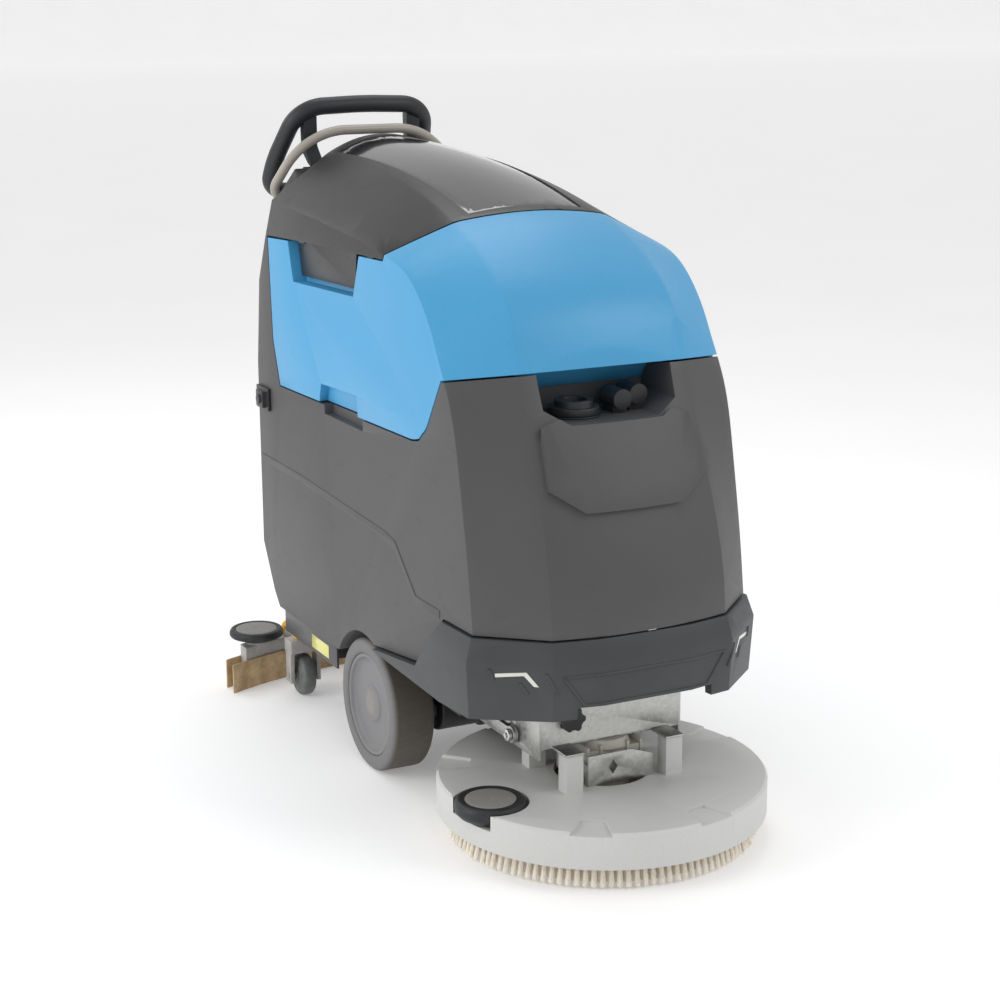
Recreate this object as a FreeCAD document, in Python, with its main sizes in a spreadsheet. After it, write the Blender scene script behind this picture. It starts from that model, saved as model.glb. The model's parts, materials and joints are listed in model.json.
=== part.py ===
import FreeCAD, Part
import math
import os
import Sketcher

# Walk-behind floor scrubber.  Millimetres, +Z up, +X the machine's left side and
# -Y its front.  The origin is on the floor under the drive axle.

doc = FreeCAD.newDocument("floor_scrubber")
sheet = doc.addObject("Spreadsheet::Sheet", "Sizes")

DRIVING = [
    # overall body
    ("body_width", 486), ("nose_reach", 510), ("tail_reach", 477), ("lid_height", 1025),
    ("skirt_height", 184), ("bumper_line", 366), ("tank_seam", 747), ("battery_deck", 614),
    ("lid_seam", 884), ("seam_gap", 3), ("tank_wall", 6), ("lid_wall", 4), ("running_gap", 0.05),
    ("free_gap", 0.4),
    # drive wheels
    ("wheel_diameter", 232), ("wheel_width", 76), ("wheel_face", 238), ("rim_diameter", 178),
    ("axle_diameter", 25), ("arch_gap", 14),
    # brush deck
    ("deck_offset", 395), ("deck_diameter", 530), ("deck_top", 96), ("deck_skirt_low", 38),
    ("deck_wall", 6), ("brush_diameter", 508), ("brush_block_low", 48), ("brush_block_high", 66),
    ("hanger_half", 129), ("plate_steel", 4), ("arm_length", 155), ("arm_low", 160),
    ("arm_spread", 45), ("arm_steel", 8), ("bolt_diameter", 12), ("deck_raise", 34),
    ("roller_diameter", 112), ("roller_height", 24),
    # squeegee
    ("squeegee_radius", 800), ("squeegee_half", 316), ("squeegee_reach", 573), ("blade_thick", 4),
    ("blade_height", 56), ("squeegee_depth", 30), ("squeegee_top", 80), ("squeegee_body_half", 282),
    ("caster_diameter", 80), ("caster_width", 28), ("caster_side", 196), ("caster_ahead", 163),
    ("end_roller_diameter", 104), ("end_roller_height", 22), ("knob_diameter", 38),
    # console and handle
    ("console_half", 150), ("console_depth", 112), ("console_height", 985),
    ("handle_half", 154), ("handle_length", 205), ("handle_tube", 32), ("handle_reach", 644),
    ("handle_low", 935), ("handle_tilt", 35), ("bail_half", 196), ("bail_length", 130),
    ("bail_tube", 18), ("bail_pivot_reach", 529), ("bail_pivot_height", 933),
    # equipment inside
    ("battery_wide", 168), ("battery_long", 330), ("battery_high", 225), ("battery_gap", 8),
    ("vacuum_diameter", 145), ("vacuum_height", 110),
]

for row, (alias, value) in enumerate(DRIVING, start=1):
    sheet.set(f"A{row}", alias)
    sheet.set(f"B{row}", str(value))
    sheet.setAlias(f"B{row}", alias)
doc.recompute()


class Size:
    """A length together with the spreadsheet expression that gives it."""

    def __init__(self, value, text):
        self.value = float(value)
        self.text = text

    def __float__(self):
        return self.value

    def __neg__(self):
        return Size(-self.value, f"(-1 * {self.text})")

    def __add__(self, other):
        return Size(self.value + float(other), f"({self.text} + {words(other)})")

    def __radd__(self, other):
        return Size(float(other) + self.value, f"({words(other)} + {self.text})")

    def __sub__(self, other):
        return Size(self.value - float(other), f"({self.text} - {words(other)})")

    def __rsub__(self, other):
        return Size(float(other) - self.value, f"({words(other)} - {self.text})")

    def __mul__(self, other):
        return Size(self.value * float(other), f"({self.text} * {words(other)})")

    def __rmul__(self, other):
        return Size(float(other) * self.value, f"({words(other)} * {self.text})")

    def __truediv__(self, other):
        return Size(self.value / float(other), f"({self.text} / {words(other)})")


def words(size):
    """The expression text of a size or of a plain number."""
    return size.text if isinstance(size, Size) else f"({float(size):.6f})"


def named(alias):
    """The sheet's value of this name, as a Size."""
    return Size(sheet.get(alias), f"Sizes.{alias}")


S = {alias: named(alias) for alias, _ in DRIVING}
nodes = []


def node(item, label):
    """Name a finished sub-part and put it on the list of those written out."""
    item.Label = label
    nodes.append(item)
    return item


def bind(item, prop, size):
    item.setExpression(prop, words(size))


def move(item, x, y, z):
    for axis, size in zip("xyz", (x, y, z)):
        bind(item, f"Placement.Base.{axis}", size)


def box(x0, x1, y0, y1, z0, z1):
    """A block between two corners."""
    item = doc.addObject("Part::Box", "Block")
    bind(item, "Length", x1 - x0)
    bind(item, "Width", y1 - y0)
    bind(item, "Height", z1 - z0)
    move(item, x0, y0, z0)
    return item


ALONG = {
    "x": FreeCAD.Rotation(FreeCAD.Vector(0, 1, 0), 90),
    "y": FreeCAD.Rotation(FreeCAD.Vector(1, 0, 0), -90),
    "z": FreeCAD.Rotation(),
}


def rod(axis, a, b, low, high, radius):
    """A round bar along an axis; a and b are its place in the other two directions."""
    item = doc.addObject("Part::Cylinder", "Rod")
    item.Placement = FreeCAD.Placement(FreeCAD.Vector(), ALONG[axis])
    bind(item, "Radius", radius)
    bind(item, "Height", high - low)
    spot = {"x": (low, a, b), "y": (a, low, b), "z": (a, b, low)}[axis]
    move(item, *spot)
    return item


def cone(a, b, low, high, radius_low, radius_high):
    """An upright cone frustum."""
    item = doc.addObject("Part::Cone", "Taper")
    bind(item, "Radius1", radius_low)
    bind(item, "Radius2", radius_high)
    bind(item, "Height", high - low)
    move(item, a, b, low)
    return item


def fuse(*items):
    item = doc.addObject("Part::MultiFuse", "Joined")
    item.Shapes = list(items)
    item.Refine = False
    return item


def common(*items):
    item = doc.addObject("Part::MultiCommon", "Overlap")
    item.Shapes = list(items)
    item.Refine = False
    return item


def cut(base, *tools):
    """The base less each tool."""
    for tool in tools:
        item = doc.addObject("Part::Cut", "Trimmed")
        item.Base = base
        item.Tool = tool
        item.Refine = False
        base = item
    return base


def group(*items):
    """Several separate solids kept in one node."""
    item = doc.addObject("Part::Compound", "Set")
    item.Links = list(items)
    return item


PLANE_POINT = {
    "x": lambda u, v, w: FreeCAD.Vector(w, u, v),
    "y": lambda u, v, w: FreeCAD.Vector(u, w, v),
    "z": lambda u, v, w: FreeCAD.Vector(u, v, w),
}


def prism(axis, outline, low, high):
    """A straight-sided outline pushed along an axis, from low to high."""
    polygon = doc.addObject("Part::Polygon", "Outline")
    polygon.Nodes = [PLANE_POINT[axis](float(u), float(v), float(low)) for u, v in outline]
    polygon.Close = True
    item = doc.addObject("Part::Extrusion", "Prism")
    item.Base = polygon
    item.DirMode = "Custom"
    item.Dir = PLANE_POINT[axis](0, 0, 1)
    item.Solid = True
    bind(item, "LengthFwd", high - low)
    return item


def turned(outline, axis="z", place=(0, 0, 0), flip=False):
    """A lathe-turned body: an outline of (radius, height) in a constrained sketch."""
    body = doc.addObject("PartDesign::Body", "Turned")
    sketch = body.newObject("Sketcher::SketchObject", "Profile")
    plane = [item for item in body.Origin.OriginFeatures if item.Role == "XZ_Plane"][0]
    sketch.AttachmentSupport = [(plane, "")]
    sketch.MapMode = "FlatFace"
    points = [FreeCAD.Vector(float(r), float(h), 0) for r, h in outline]
    count = len(points)
    for i in range(count):
        sketch.addGeometry(Part.LineSegment(points[i], points[(i + 1) % count]), False)
    for i in range(count):
        sketch.addConstraint(Sketcher.Constraint("Coincident", i, 2, (i + 1) % count, 1))
    for i, (r, h) in enumerate(outline):
        for kind, size in (("DistanceX", r), ("DistanceY", h)):
            spot = sketch.addConstraint(Sketcher.Constraint(kind, -1, 1, i, 1, float(size)))
            if isinstance(size, Size):
                sketch.setExpression(f"Constraints[{spot}]", size.text)
    spin = body.newObject("PartDesign::Revolution", "Turning")
    spin.Profile = sketch
    spin.ReferenceAxis = (sketch, ["V_Axis"])
    spin.Angle = 360
    body.Tip = spin
    turn = ALONG[axis]
    if flip:
        turn = FreeCAD.Rotation(FreeCAD.Vector(0, 0, 1), 180).multiply(turn)
    body.Placement = FreeCAD.Placement(FreeCAD.Vector(), turn)
    move(body, *place)
    return body


def solid(shape):
    """A sub-part whose surface is curved in ways the primitives don't cover."""
    item = doc.addObject("Part::Feature", "Shaped")
    item.Shape = shape
    return item


def bent_tube(points, radii, diameter, closed=False):
    """A round tube along straight runs joined by tangent arcs."""
    count = len(points)
    runs = []
    for i in range(count):
        inner = closed or 0 < i < count - 1
        before = points[i - 1]
        after = points[(i + 1) % count]
        if not inner:
            runs.append((points[i], points[i], points[i]))
            continue
        back = (before - points[i]).normalize()
        ahead = (after - points[i]).normalize()
        half = back.getAngle(ahead) / 2
        leg = radii[i] / math.tan(half)
        middle = points[i] + (back + ahead).normalize() * (radii[i] / math.sin(half) - radii[i])
        runs.append((points[i] + back * leg, middle, points[i] + ahead * leg))
    edges = []
    for i in range(count):
        start, middle, end = runs[i]
        if start.distanceToPoint(end) > 0.01:
            edges.append(Part.Arc(start, middle, end).toShape())
        if i < count - 1 or closed:
            edges.append(Part.LineSegment(end, runs[(i + 1) % count][0]).toShape())
    path = Part.Wire(edges)
    first = edges[0]
    heading = first.tangentAt(first.FirstParameter)
    ring = Part.Wire(Part.makeCircle(diameter / 2, first.valueAt(first.FirstParameter), heading))
    return path.makePipeShell([ring], True, False)


# ---------------------------------------------------------------------------------
# The body's outer form: a bowed centre panel, two chamfers and two flat sides.

half_body = float(S["body_width"]) / 2
nose = -float(S["nose_reach"])
tail = float(S["tail_reach"])
crest = float(S["lid_height"])
skirt = float(S["skirt_height"])
bumper_top = float(S["bumper_line"])
tank_seam = float(S["tank_seam"])
battery_deck = float(S["battery_deck"])
lid_seam = float(S["lid_seam"])
gap = float(S["seam_gap"])
tank_wall = float(S["tank_wall"])
lid_wall = float(S["lid_wall"])

CHAMFER_SET_BACK = 84
BOW = 22
CREASE_DROP = 78
LID_CROWN = 33
FAR = 700

# The share of the way back and up at points along each curve, nose to lid end.
RIDGE_SHAPE = [(0, 0), (0.031, 0.233), (0.071, 0.377), (0.129, 0.578), (0.150, 0.668), (0.184, 0.740),
               (0.238, 0.799), (0.311, 0.855), (0.423, 0.907), (0.601, 0.956), (0.819, 0.985), (1, 1)]
CREASE_SHAPE = [(0, 0), (0.019, 0.173), (0.049, 0.377), (0.093, 0.586), (0.139, 0.690), (0.166, 0.750),
                (0.207, 0.818), (0.271, 0.884), (0.375, 0.923), (0.655, 0.964), (0.85, 0.985), (1, 1)]
# How far the centre line stands out of the ridge line: forwards, then upwards.
CENTRE_BOW = [(1, 0), (0.9, 0), (0.75, 0), (0.5, 0.1), (0.45, 0.15), (0.4, 0.2),
              (0.3, 0.25), (0.2, 0.35), (0.1, 0.45), (0, 0.75), (0, 0.95), (0, 1)]
LID_END = 440
CREASE_END = 377
LID_TAIL = 413


def along(shape, start, end):
    """Points of a curve given as shares of the way from start to end."""
    return [(start[0] + f * (end[0] - start[0]), start[1] + g * (end[1] - start[1])) for f, g in shape]


def inset(points, amount):
    """A closed outline moved inwards; it runs clockwise seen with y right and z up."""
    moved = []
    for i, (y, z) in enumerate(points):
        before = points[i - 1]
        after = points[(i + 1) % len(points)]
        a = FreeCAD.Vector(y - before[0], z - before[1], 0).normalize()
        b = FreeCAD.Vector(after[0] - y, after[1] - z, 0).normalize()
        normal_a = FreeCAD.Vector(a.y, -a.x, 0)
        normal_b = FreeCAD.Vector(b.y, -b.x, 0)
        middle = (normal_a + normal_b).normalize()
        reach = amount / max(middle.dot(normal_a), 0.4)
        moved.append((y + middle.x * reach, z + middle.y * reach))
    return moved


def tail_points(top, shoulder, front):
    """The back, underside and foot of a section, from the lid's end round to the nose."""
    return [top, shoulder, (tail - (tail - shoulder[0]) * 0.11, 793), (tail, 640), (tail, 295),
            (tail - 52, skirt + 25), (tail - 77, skirt), (front, skirt)]


def sections(amount):
    """The crease, ridge and centre outlines, each moved inwards by an amount."""
    crease_front = nose + CHAMFER_SET_BACK
    crease = along(CREASE_SHAPE[:-1], (crease_front, bumper_top - 3), (CREASE_END, crest - CREASE_DROP))
    ridge = along(RIDGE_SHAPE[:-1], (nose, bumper_top), (LID_END, crest))
    centre = [(y - BOW * f, z + LID_CROWN * g) for (y, z), (f, g) in zip(ridge, CENTRE_BOW)]
    crease += tail_points((CREASE_END, crest - CREASE_DROP), (LID_TAIL, lid_seam), crease_front)
    ridge += tail_points((LID_END, crest - 6), (tail + 1, lid_seam), nose)
    centre += tail_points((LID_END, crest + LID_CROWN - 6), (tail + 1, lid_seam), nose - BOW)
    return [inset(outline, amount) for outline in (crease, ridge, centre)]


def ridge_x(y, z, amount):
    """The ridge lies in a plane that narrows upwards and backwards."""
    return half_body * (0.5634 - 0.0001574 * y - 0.000038 * z) - amount * 0.4


def section_wire(outline, x_of):
    """A smooth curve over the front and top, then straight edges round the back."""
    points = [FreeCAD.Vector(x_of(y, z), y, z) for y, z in outline]
    smooth = len(RIDGE_SHAPE)
    curve = Part.BSplineCurve()
    curve.interpolate(points[:smooth])
    edges = [curve.toShape()]
    loop = points[smooth - 1:] + [points[0]]
    for start, end in zip(loop, loop[1:]):
        edges.append(Part.LineSegment(start, end).toShape())
    return Part.Wire(edges)


def hull(amount):
    """The whole body form, moved inwards by an amount."""
    crease, ridge, centre = sections(amount)
    side = half_body - amount
    left_crease = section_wire(crease, lambda y, z: side)
    left_ridge = section_wire(ridge, lambda y, z: ridge_x(y, z, amount))
    middle = section_wire(centre, lambda y, z: 0)
    right_ridge = section_wire(ridge, lambda y, z: -ridge_x(y, z, amount))
    right_crease = section_wire(crease, lambda y, z: -side)
    core = Part.makeLoft([left_ridge, middle, right_ridge], True, False)
    left = Part.makeLoft([left_crease, left_ridge], True, True)
    right = Part.makeLoft([right_crease, right_ridge], True, True)
    return core.fuse([left, right])


def slab(outline, half_width=FAR):
    """An outline in y and z pushed across the whole width."""
    points = [FreeCAD.Vector(-half_width, y, z) for y, z in outline]
    face = Part.Face(Part.makePolygon(points + points[:1]))
    return face.extrude(FreeCAD.Vector(2 * half_width, 0, 0))


def upright(outline, y0, y1):
    """An outline in x and z pushed from y0 to y1."""
    points = [FreeCAD.Vector(x, y0, z) for x, z in outline]
    face = Part.Face(Part.makePolygon(points + points[:1]))
    return face.extrude(FreeCAD.Vector(0, y1 - y0, 0))


def block(x0, x1, y0, y1, z0, z1):
    return Part.makeBox(x1 - x0, y1 - y0, z1 - z0, FreeCAD.Vector(x0, y0, z0))


def console_block_shape(outline, half, clearance):
    """The console's own space with a small clearance round it."""
    loop = inset(outline, -clearance)
    return slab(loop, half + clearance)


def both_sides(shape):
    """A shape and its mirror image on the other side of the machine."""
    return [shape, shape.mirror(FreeCAD.Vector(), FreeCAD.Vector(1, 0, 0))]


form = hull(0)
form_tank_inner = hull(tank_wall)
form_lid_inner = hull(lid_wall)
BOSS_PROUD = 9
form_boss = hull(-BOSS_PROUD)

# The seam between the dark lower tank and the recovery tank, from front to back.
seam = [(nose - 90, tank_seam + 10), (nose + 108, tank_seam), (nose + 187, tank_seam - 14),
        (nose + 241, battery_deck + 36), (nose + 271, battery_deck + 13),
        (nose + 295, battery_deck + 8), (LID_TAIL - 48, battery_deck - 3),
        (LID_TAIL - 18, battery_deck + 76), (LID_TAIL - 6, lid_seam - 4)]

# The underside of the lower tank, from back to front.
ARCH_FRONT = 236
NOTCH_BACK = nose + 272
NOTCH_FRONT = nose + 187
underside = [(tail + 60, skirt), (108, skirt), (-30, ARCH_FRONT), (NOTCH_BACK, ARCH_FRONT + 28),
             (NOTCH_FRONT, bumper_top - 5), (nose - 90, bumper_top + 2)]


def raised(points, amount):
    return [(y, z + amount) for y, z in points]


tank_region = seam + [(tail + 60, lid_seam - 4)] + underside
recovery_region = ([(nose - 90, crest + 60), (nose + 305, crest + 60), (nose + 352, crest - 64),
                    (nose + 399, lid_seam + 8), (LID_TAIL - 148, lid_seam - 1),
                    (LID_TAIL - 9, lid_seam - 7)]
                   + [(y - gap, z + gap) for y, z in reversed(seam[-3:-1])]
                   + [(y + gap / 2, z + gap) for y, z in reversed(seam[:-3])])
lid_region = [(nose + 309, crest + 120), (tail + 60, crest + 120), (tail + 60, lid_seam),
              (LID_TAIL - 6, lid_seam - 3), (LID_TAIL - 148, lid_seam + 2),
              (nose + 400, lid_seam + 11), (nose + 355, crest - 61), (nose + 309, crest + 60)]

# ---------------------------------------------------------------------------------
# Lower tank: the dark body that holds the solution and the batteries.

wheel_radius = float(S["wheel_diameter"]) / 2
arch_radius = wheel_radius + float(S["arch_gap"])
wheel_inner = float(S["wheel_face"]) - float(S["wheel_width"])
POCKET_HALF = 120
POCKET_FLOOR = tank_seam - 75
POCKET_DEPTH = 95
FILLER_X = -38
HATCH_HALF = 205


def arch(radius, inner):
    left = Part.makeCylinder(radius, FAR, FreeCAD.Vector(inner, 0, wheel_radius), FreeCAD.Vector(1, 0, 0))
    right = Part.makeCylinder(radius, FAR, FreeCAD.Vector(-inner, 0, wheel_radius),
                              FreeCAD.Vector(-1, 0, 0))
    return [left, right]


def pocket(amount):
    """The filler pocket at the top of the front panel, grown by an amount."""
    return upright([(-POCKET_HALF - amount, tank_seam + 60), (POCKET_HALF + amount, tank_seam + 60),
                    (POCKET_HALF - 4 + amount, POCKET_FLOOR + 22 - amount), (80, POCKET_FLOOR - amount),
                    (-80, POCKET_FLOOR - amount), (-POCKET_HALF + 4 - amount, POCKET_FLOOR + 22 - amount)],
                   nose - 90, nose + 108 + POCKET_DEPTH + amount)


def grip_ledge(amount):
    """The finger ledge below each lower grip, on both sides."""
    ledge = block(half_body - 16 - amount, FAR, -17 - amount, 150 + amount,
                  battery_deck - 14 - amount, battery_deck + 60)
    return both_sides(ledge)


tank = form.common(slab(tank_region))
boss_outline = [(-POCKET_HALF - 8, POCKET_FLOOR + 26), (POCKET_HALF + 8, POCKET_FLOOR + 26),
                (POCKET_HALF + 14, POCKET_FLOOR - 90), (85, POCKET_FLOOR - 123),
                (-85, POCKET_FLOOR - 123), (-POCKET_HALF - 14, POCKET_FLOOR - 90)]
boss = form_boss.common(upright(boss_outline, nose - 90, nose + 80))
tank = tank.fuse(boss)
outer_cuts = arch(arch_radius, wheel_inner - 12) + [pocket(0)] + grip_ledge(0)
tank = tank.cut(outer_cuts)
cavity = form_tank_inner.common(slab(inset(tank_region, tank_wall)))
cavity = cavity.cut(arch(arch_radius + tank_wall, wheel_inner - 12 - tank_wall)
                    + [pocket(tank_wall)] + grip_ledge(tank_wall))
hatch = block(-HATCH_HALF, HATCH_HALF, NOTCH_BACK + 40, LID_TAIL - 70, battery_deck - 60, battery_deck + 40)
filler_hole = Part.makeCylinder(38, 60, FreeCAD.Vector(FILLER_X, nose + 145, POCKET_FLOOR - 40))
brass_hole = Part.makeCylinder(9, 40, FreeCAD.Vector(-half_body + 28, tail - 20, battery_deck - 8),
                               FreeCAD.Vector(0, 1, 0))
tank = tank.cut([cavity, hatch, filler_hole, brass_hole])
node(solid(tank), "solution_tank")

# ---------------------------------------------------------------------------------
# Recovery tank, its gasket and fittings.

SCOOP_HALF = 116


def scoop(amount):
    """The shallow dished grip at the foot of the recovery tank's front."""
    return upright([(-SCOOP_HALF - amount, tank_seam - 40),
                    (-SCOOP_HALF + 6 - amount, tank_seam + 56 + amount),
                    (-SCOOP_HALF + 26, tank_seam + 72 + amount), (SCOOP_HALF - 26, tank_seam + 72 + amount),
                    (SCOOP_HALF - 6 + amount, tank_seam + 56 + amount),
                    (SCOOP_HALF + amount, tank_seam - 40)],
                   nose - 90, nose + 119 + amount)


def upper_grip(amount):
    """The grip recess under the lid, on both sides."""
    deep = half_body - 26 - amount
    points = [(nose + 486 - amount, lid_seam + 30), (nose + 523 - amount, lid_seam - 64 - amount),
              (LID_TAIL - 130 + amount, lid_seam - 72 - amount), (LID_TAIL - 98 + amount, lid_seam + 30)]
    wedge = slab(points).cut(slab([(-FAR, 0), (FAR, 0), (FAR, 2 * FAR), (-FAR, 2 * FAR)], deep))
    return [wedge]


def lower_grip(amount):
    """The finger notch in the recovery tank's lower edge, on both sides."""
    deep = half_body - 16 - amount
    points = [(2 - amount, battery_deck - 20), (6 - amount, battery_deck + 42 + amount),
              (164 + amount, battery_deck + 36 + amount), (180 + amount, battery_deck - 20)]
    return [slab(points).cut(slab([(-FAR, 0), (FAR, 0), (FAR, 2 * FAR), (-FAR, 2 * FAR)], deep))]


MOUTH_HALF = 196
recovery = form.common(slab(recovery_region)).cut([scoop(0)] + upper_grip(0) + lower_grip(0))
basin = form_tank_inner.common(slab(inset(recovery_region, tank_wall)))
basin = basin.cut([scoop(tank_wall)] + upper_grip(tank_wall) + lower_grip(tank_wall))
MOUTH_FRONT = nose + 440
MOUTH_BACK = LID_TAIL - 34
mouth = block(-MOUTH_HALF, MOUTH_HALF, MOUTH_FRONT, MOUTH_BACK, lid_seam - 60, lid_seam + 60)
recovery = recovery.cut([basin, mouth])


def rest_pads(line, inner, outer, thick, spans):
    """Small feet that carry one moulding on the one below, beside both edges."""
    (y0, z0), (y1, z1) = line
    pads = []
    for start, end in spans:
        heights = [z0 + (z1 - z0) * (y - y0) / (y1 - y0) for y in (start, end)]
        foot = slab([(start, heights[0] + REST), (start, heights[0] + thick), (end, heights[1] + thick),
                     (end, heights[1] + REST)], outer)
        pads.append(foot.cut(block(-inner, inner, start - 1, end + 1, 0, crest)))
    return pads


REST = 0.4
recovery = recovery.fuse(rest_pads((seam[5], seam[6]), half_body - 28, half_body - 9, gap + 2,
                                   [(-180, -130), (200, 250)]))
node(solid(recovery), "recovery_tank")

# ---------------------------------------------------------------------------------
# Lid: an open shell with side tabs, a smoked top panel and a gasket.

lid_hollow = form_lid_inner.common(slab([(nose + 309 + lid_wall, crest + 120),
                                         (tail - lid_wall, crest + 120),
                                         (tail - lid_wall, lid_seam - 60), (nose + 404, lid_seam - 60),
                                         (nose + 359, crest - 61)]))
tab = slab([(nose + 532, lid_seam + 16), (nose + 541, lid_seam - 54), (LID_TAIL - 142, lid_seam - 60),
            (LID_TAIL - 122, lid_seam + 16)], half_body - 12)
tab = tab.cut(slab([(-FAR, 0), (FAR, 0), (FAR, 2 * FAR), (-FAR, 2 * FAR)], half_body - 19))
lid = form.common(slab(lid_region)).cut(lid_hollow)
shelf = form_lid_inner.common(slab([(nose + 532, lid_seam + 9), (nose + 532, lid_seam + 16),
                                    (LID_TAIL - 122, lid_seam + 16), (LID_TAIL - 122, lid_seam + 9)]))
shelf = shelf.cut(slab([(-FAR, 0), (FAR, 0), (FAR, 2 * FAR), (-FAR, 2 * FAR)], half_body - 19))
lid = lid.fuse([tab, shelf])
window_outline = [(nose + 376, crest - 90), (LID_END - 36, crest - 90), (LID_END - 36, crest + 200),
                  (nose + 376, crest + 200)]
WINDOW_HALF = 102
WINDOW_THICK = 3
sunk = hull(1.5)
sunk_floor = hull(1.5 + WINDOW_THICK)
window = sunk.common(slab(window_outline, WINDOW_HALF)).cut(sunk_floor)
seat = form.common(slab(inset(window_outline[::-1], -1), WINDOW_HALF + 1)).cut(hull(1.7 + WINDOW_THICK))
bed = form_lid_inner.common(slab(inset(window_outline[::-1], -4), WINDOW_HALF + 4))
bed = bed.cut(hull(1.5 + WINDOW_THICK + lid_wall))
lid = lid.fuse(bed).cut(seat)
lid_line = [(nose + 399, lid_seam + 8), (LID_TAIL - 148, lid_seam - 1)]
lid = lid.fuse(rest_pads(lid_line, half_body - 20, half_body - 1.5, gap + 6, [(-70, -45), (230, 255)]))
node(solid(lid), "recovery_lid")
node(solid(window), "lid_window")

rim_height = lid_seam - 1
gasket_out = Part.makeBox(2 * MOUTH_HALF, MOUTH_BACK - MOUTH_FRONT, 10,
                          FreeCAD.Vector(-MOUTH_HALF, MOUTH_FRONT, rim_height - 14))
gasket_in = Part.makeBox(2 * MOUTH_HALF - 16, MOUTH_BACK - MOUTH_FRONT - 16, 10,
                         FreeCAD.Vector(-MOUTH_HALF + 8, MOUTH_FRONT + 8, rim_height - 14))
node(solid(gasket_out.cut(gasket_in)), "lid_gasket")


# ---------------------------------------------------------------------------------
# Front bumper: a moulding proud of the body, with a bent light strip on each side.

BUMPER_PROUD = 16
BUMPER_LOW = 232
BUMPER_BACK = -62
ROUND_LOW = bumper_top - 40


def bumper_outline(proud, height):
    """Half the bumper's plan at one height, mirrored to a closed loop."""
    side = half_body + proud
    half = [(side, BUMPER_BACK), (side, nose + CHAMFER_SET_BACK - proud * 0.5),
            (half_body * 0.63 + proud * 0.3, nose - proud), (half_body * 0.32, nose - BOW * 0.72 - proud)]
    loop = half + [(-x, y) for x, y in reversed(half)]
    points = [FreeCAD.Vector(x, y, height) for x, y in loop]
    return Part.makePolygon(points + points[:1])


def bumper_form(extra):
    levels = [(BUMPER_PROUD - 6 + extra, BUMPER_LOW - 10), (BUMPER_PROUD + extra, ROUND_LOW),
              (extra, bumper_top + 10)]
    return Part.makeLoft([bumper_outline(proud, height) for proud, height in levels], True, True)


bumper_seam = [(60, ARCH_FRONT - 22), (-30, ARCH_FRONT - gap), (NOTCH_BACK, ARCH_FRONT + 28 - gap),
               (NOTCH_FRONT - gap, bumper_top - 5 - gap), (nose - 90, bumper_top + 2 - gap),
               (nose - 90, crest), (60, crest)]
bumper_foot = [(60, 0), (60, BUMPER_LOW + 6), (NOTCH_FRONT, BUMPER_LOW - 5), (nose + 75, BUMPER_LOW + 2),
               (nose - 90, BUMPER_LOW + 16), (nose - 90, 0)]
chin = upright([(-132, 0), (-118, BUMPER_LOW + 28), (118, BUMPER_LOW + 28), (132, 0)], nose - 90, nose + 60)
strip_outline = [(225, 306), (225, 312), (189, 318), (174, 296), (180, 296), (192, 312)]
strip_region = upright(strip_outline, nose - 60, nose + 90)
STRIP_DEEP = 2
bumper = bumper_form(0).cut([hull(8), slab(bumper_seam), slab(bumper_foot), chin])
feet = [block(x0, x0 + 26, nose + 20, nose + 84, BUMPER_LOW + 14.4, BUMPER_LOW + 20) for x0 in (-200, 174)]
bumper = bumper.fuse([foot.common(bumper_form(-3)) for foot in feet])
strips = []
for region in both_sides(strip_region):
    strips.append(bumper_form(0.8).common(region).cut(bumper_form(-STRIP_DEEP)))
    bumper = bumper.cut(bumper_form(4).common(region).cut(bumper_form(-STRIP_DEEP)))
node(solid(bumper), "front_bumper")
node(solid(Part.makeCompound(strips)), "bumper_lights")

# ---------------------------------------------------------------------------------
# Chassis: a folded steel tray under the tank, with cheeks for the lift arms, side
# skirts, front rails for the bumper and lugs for the squeegee arm.

TRAY_HALF = 150
TRAY_TOP = S["skirt_height"] - 0.5
TRAY_LOW = S["skirt_height"] - 44
TRAY_FRONT = -185
TRAY_BACK = S["tail_reach"] - 90
steel = S["plate_steel"]
cheek_out = S["hanger_half"]
pivot_y = -(S["deck_offset"] - 50 - S["arm_length"])
upper_z = S["arm_low"] + S["arm_spread"]
squeegee_pivot_y = TRAY_BACK - 57
squeegee_pivot_z = 120
RAIL_LOW = 232
LUG_IN = 50
PIN = 6

plate = box(-TRAY_HALF, TRAY_HALF, TRAY_FRONT, TRAY_BACK, TRAY_TOP - steel, TRAY_TOP)
flanges = [box(x0, x0 + 4, TRAY_FRONT, TRAY_BACK, TRAY_LOW, TRAY_TOP) for x0 in (-TRAY_HALF, TRAY_HALF - 4)]
skirts = [box(x0, x0 + 4, 134, TRAY_BACK, TRAY_LOW, TRAY_TOP)
          for x0 in (-S["body_width"] / 2 + 5, S["body_width"] / 2 - 9)]
outriggers = [box(-S["body_width"] / 2 + 5, S["body_width"] / 2 - 5, y0, y0 + 12, TRAY_TOP - 26, TRAY_TOP)
              for y0 in (136, TRAY_BACK - 14)]
cheeks = [box(x0, x0 + 8, pivot_y - 16, pivot_y + 20, S["arm_low"] - 18, upper_z + 16)
          for x0 in (-cheek_out, cheek_out - 8)]
rails = [box(x0, x0 + 18, -(S["nose_reach"] - 58), -128, RAIL_LOW, RAIL_LOW + 14) for x0 in (-196, 178)]
cross = box(-196, 196, -146, -128, RAIL_LOW - 12, RAIL_LOW + 14)
risers = [box(x0, x0 + 18, -146, -128, TRAY_TOP - 10, RAIL_LOW + 14) for x0 in (-146, 128)]
lugs = [box(x0, x0 + 8, squeegee_pivot_y - 14, squeegee_pivot_y + 14, squeegee_pivot_z - 14, TRAY_TOP)
        for x0 in (-LUG_IN - 8, LUG_IN)]
tray = fuse(plate, *flanges, *skirts, *outriggers, *cheeks, *rails, cross, *risers, *lugs)
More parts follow.
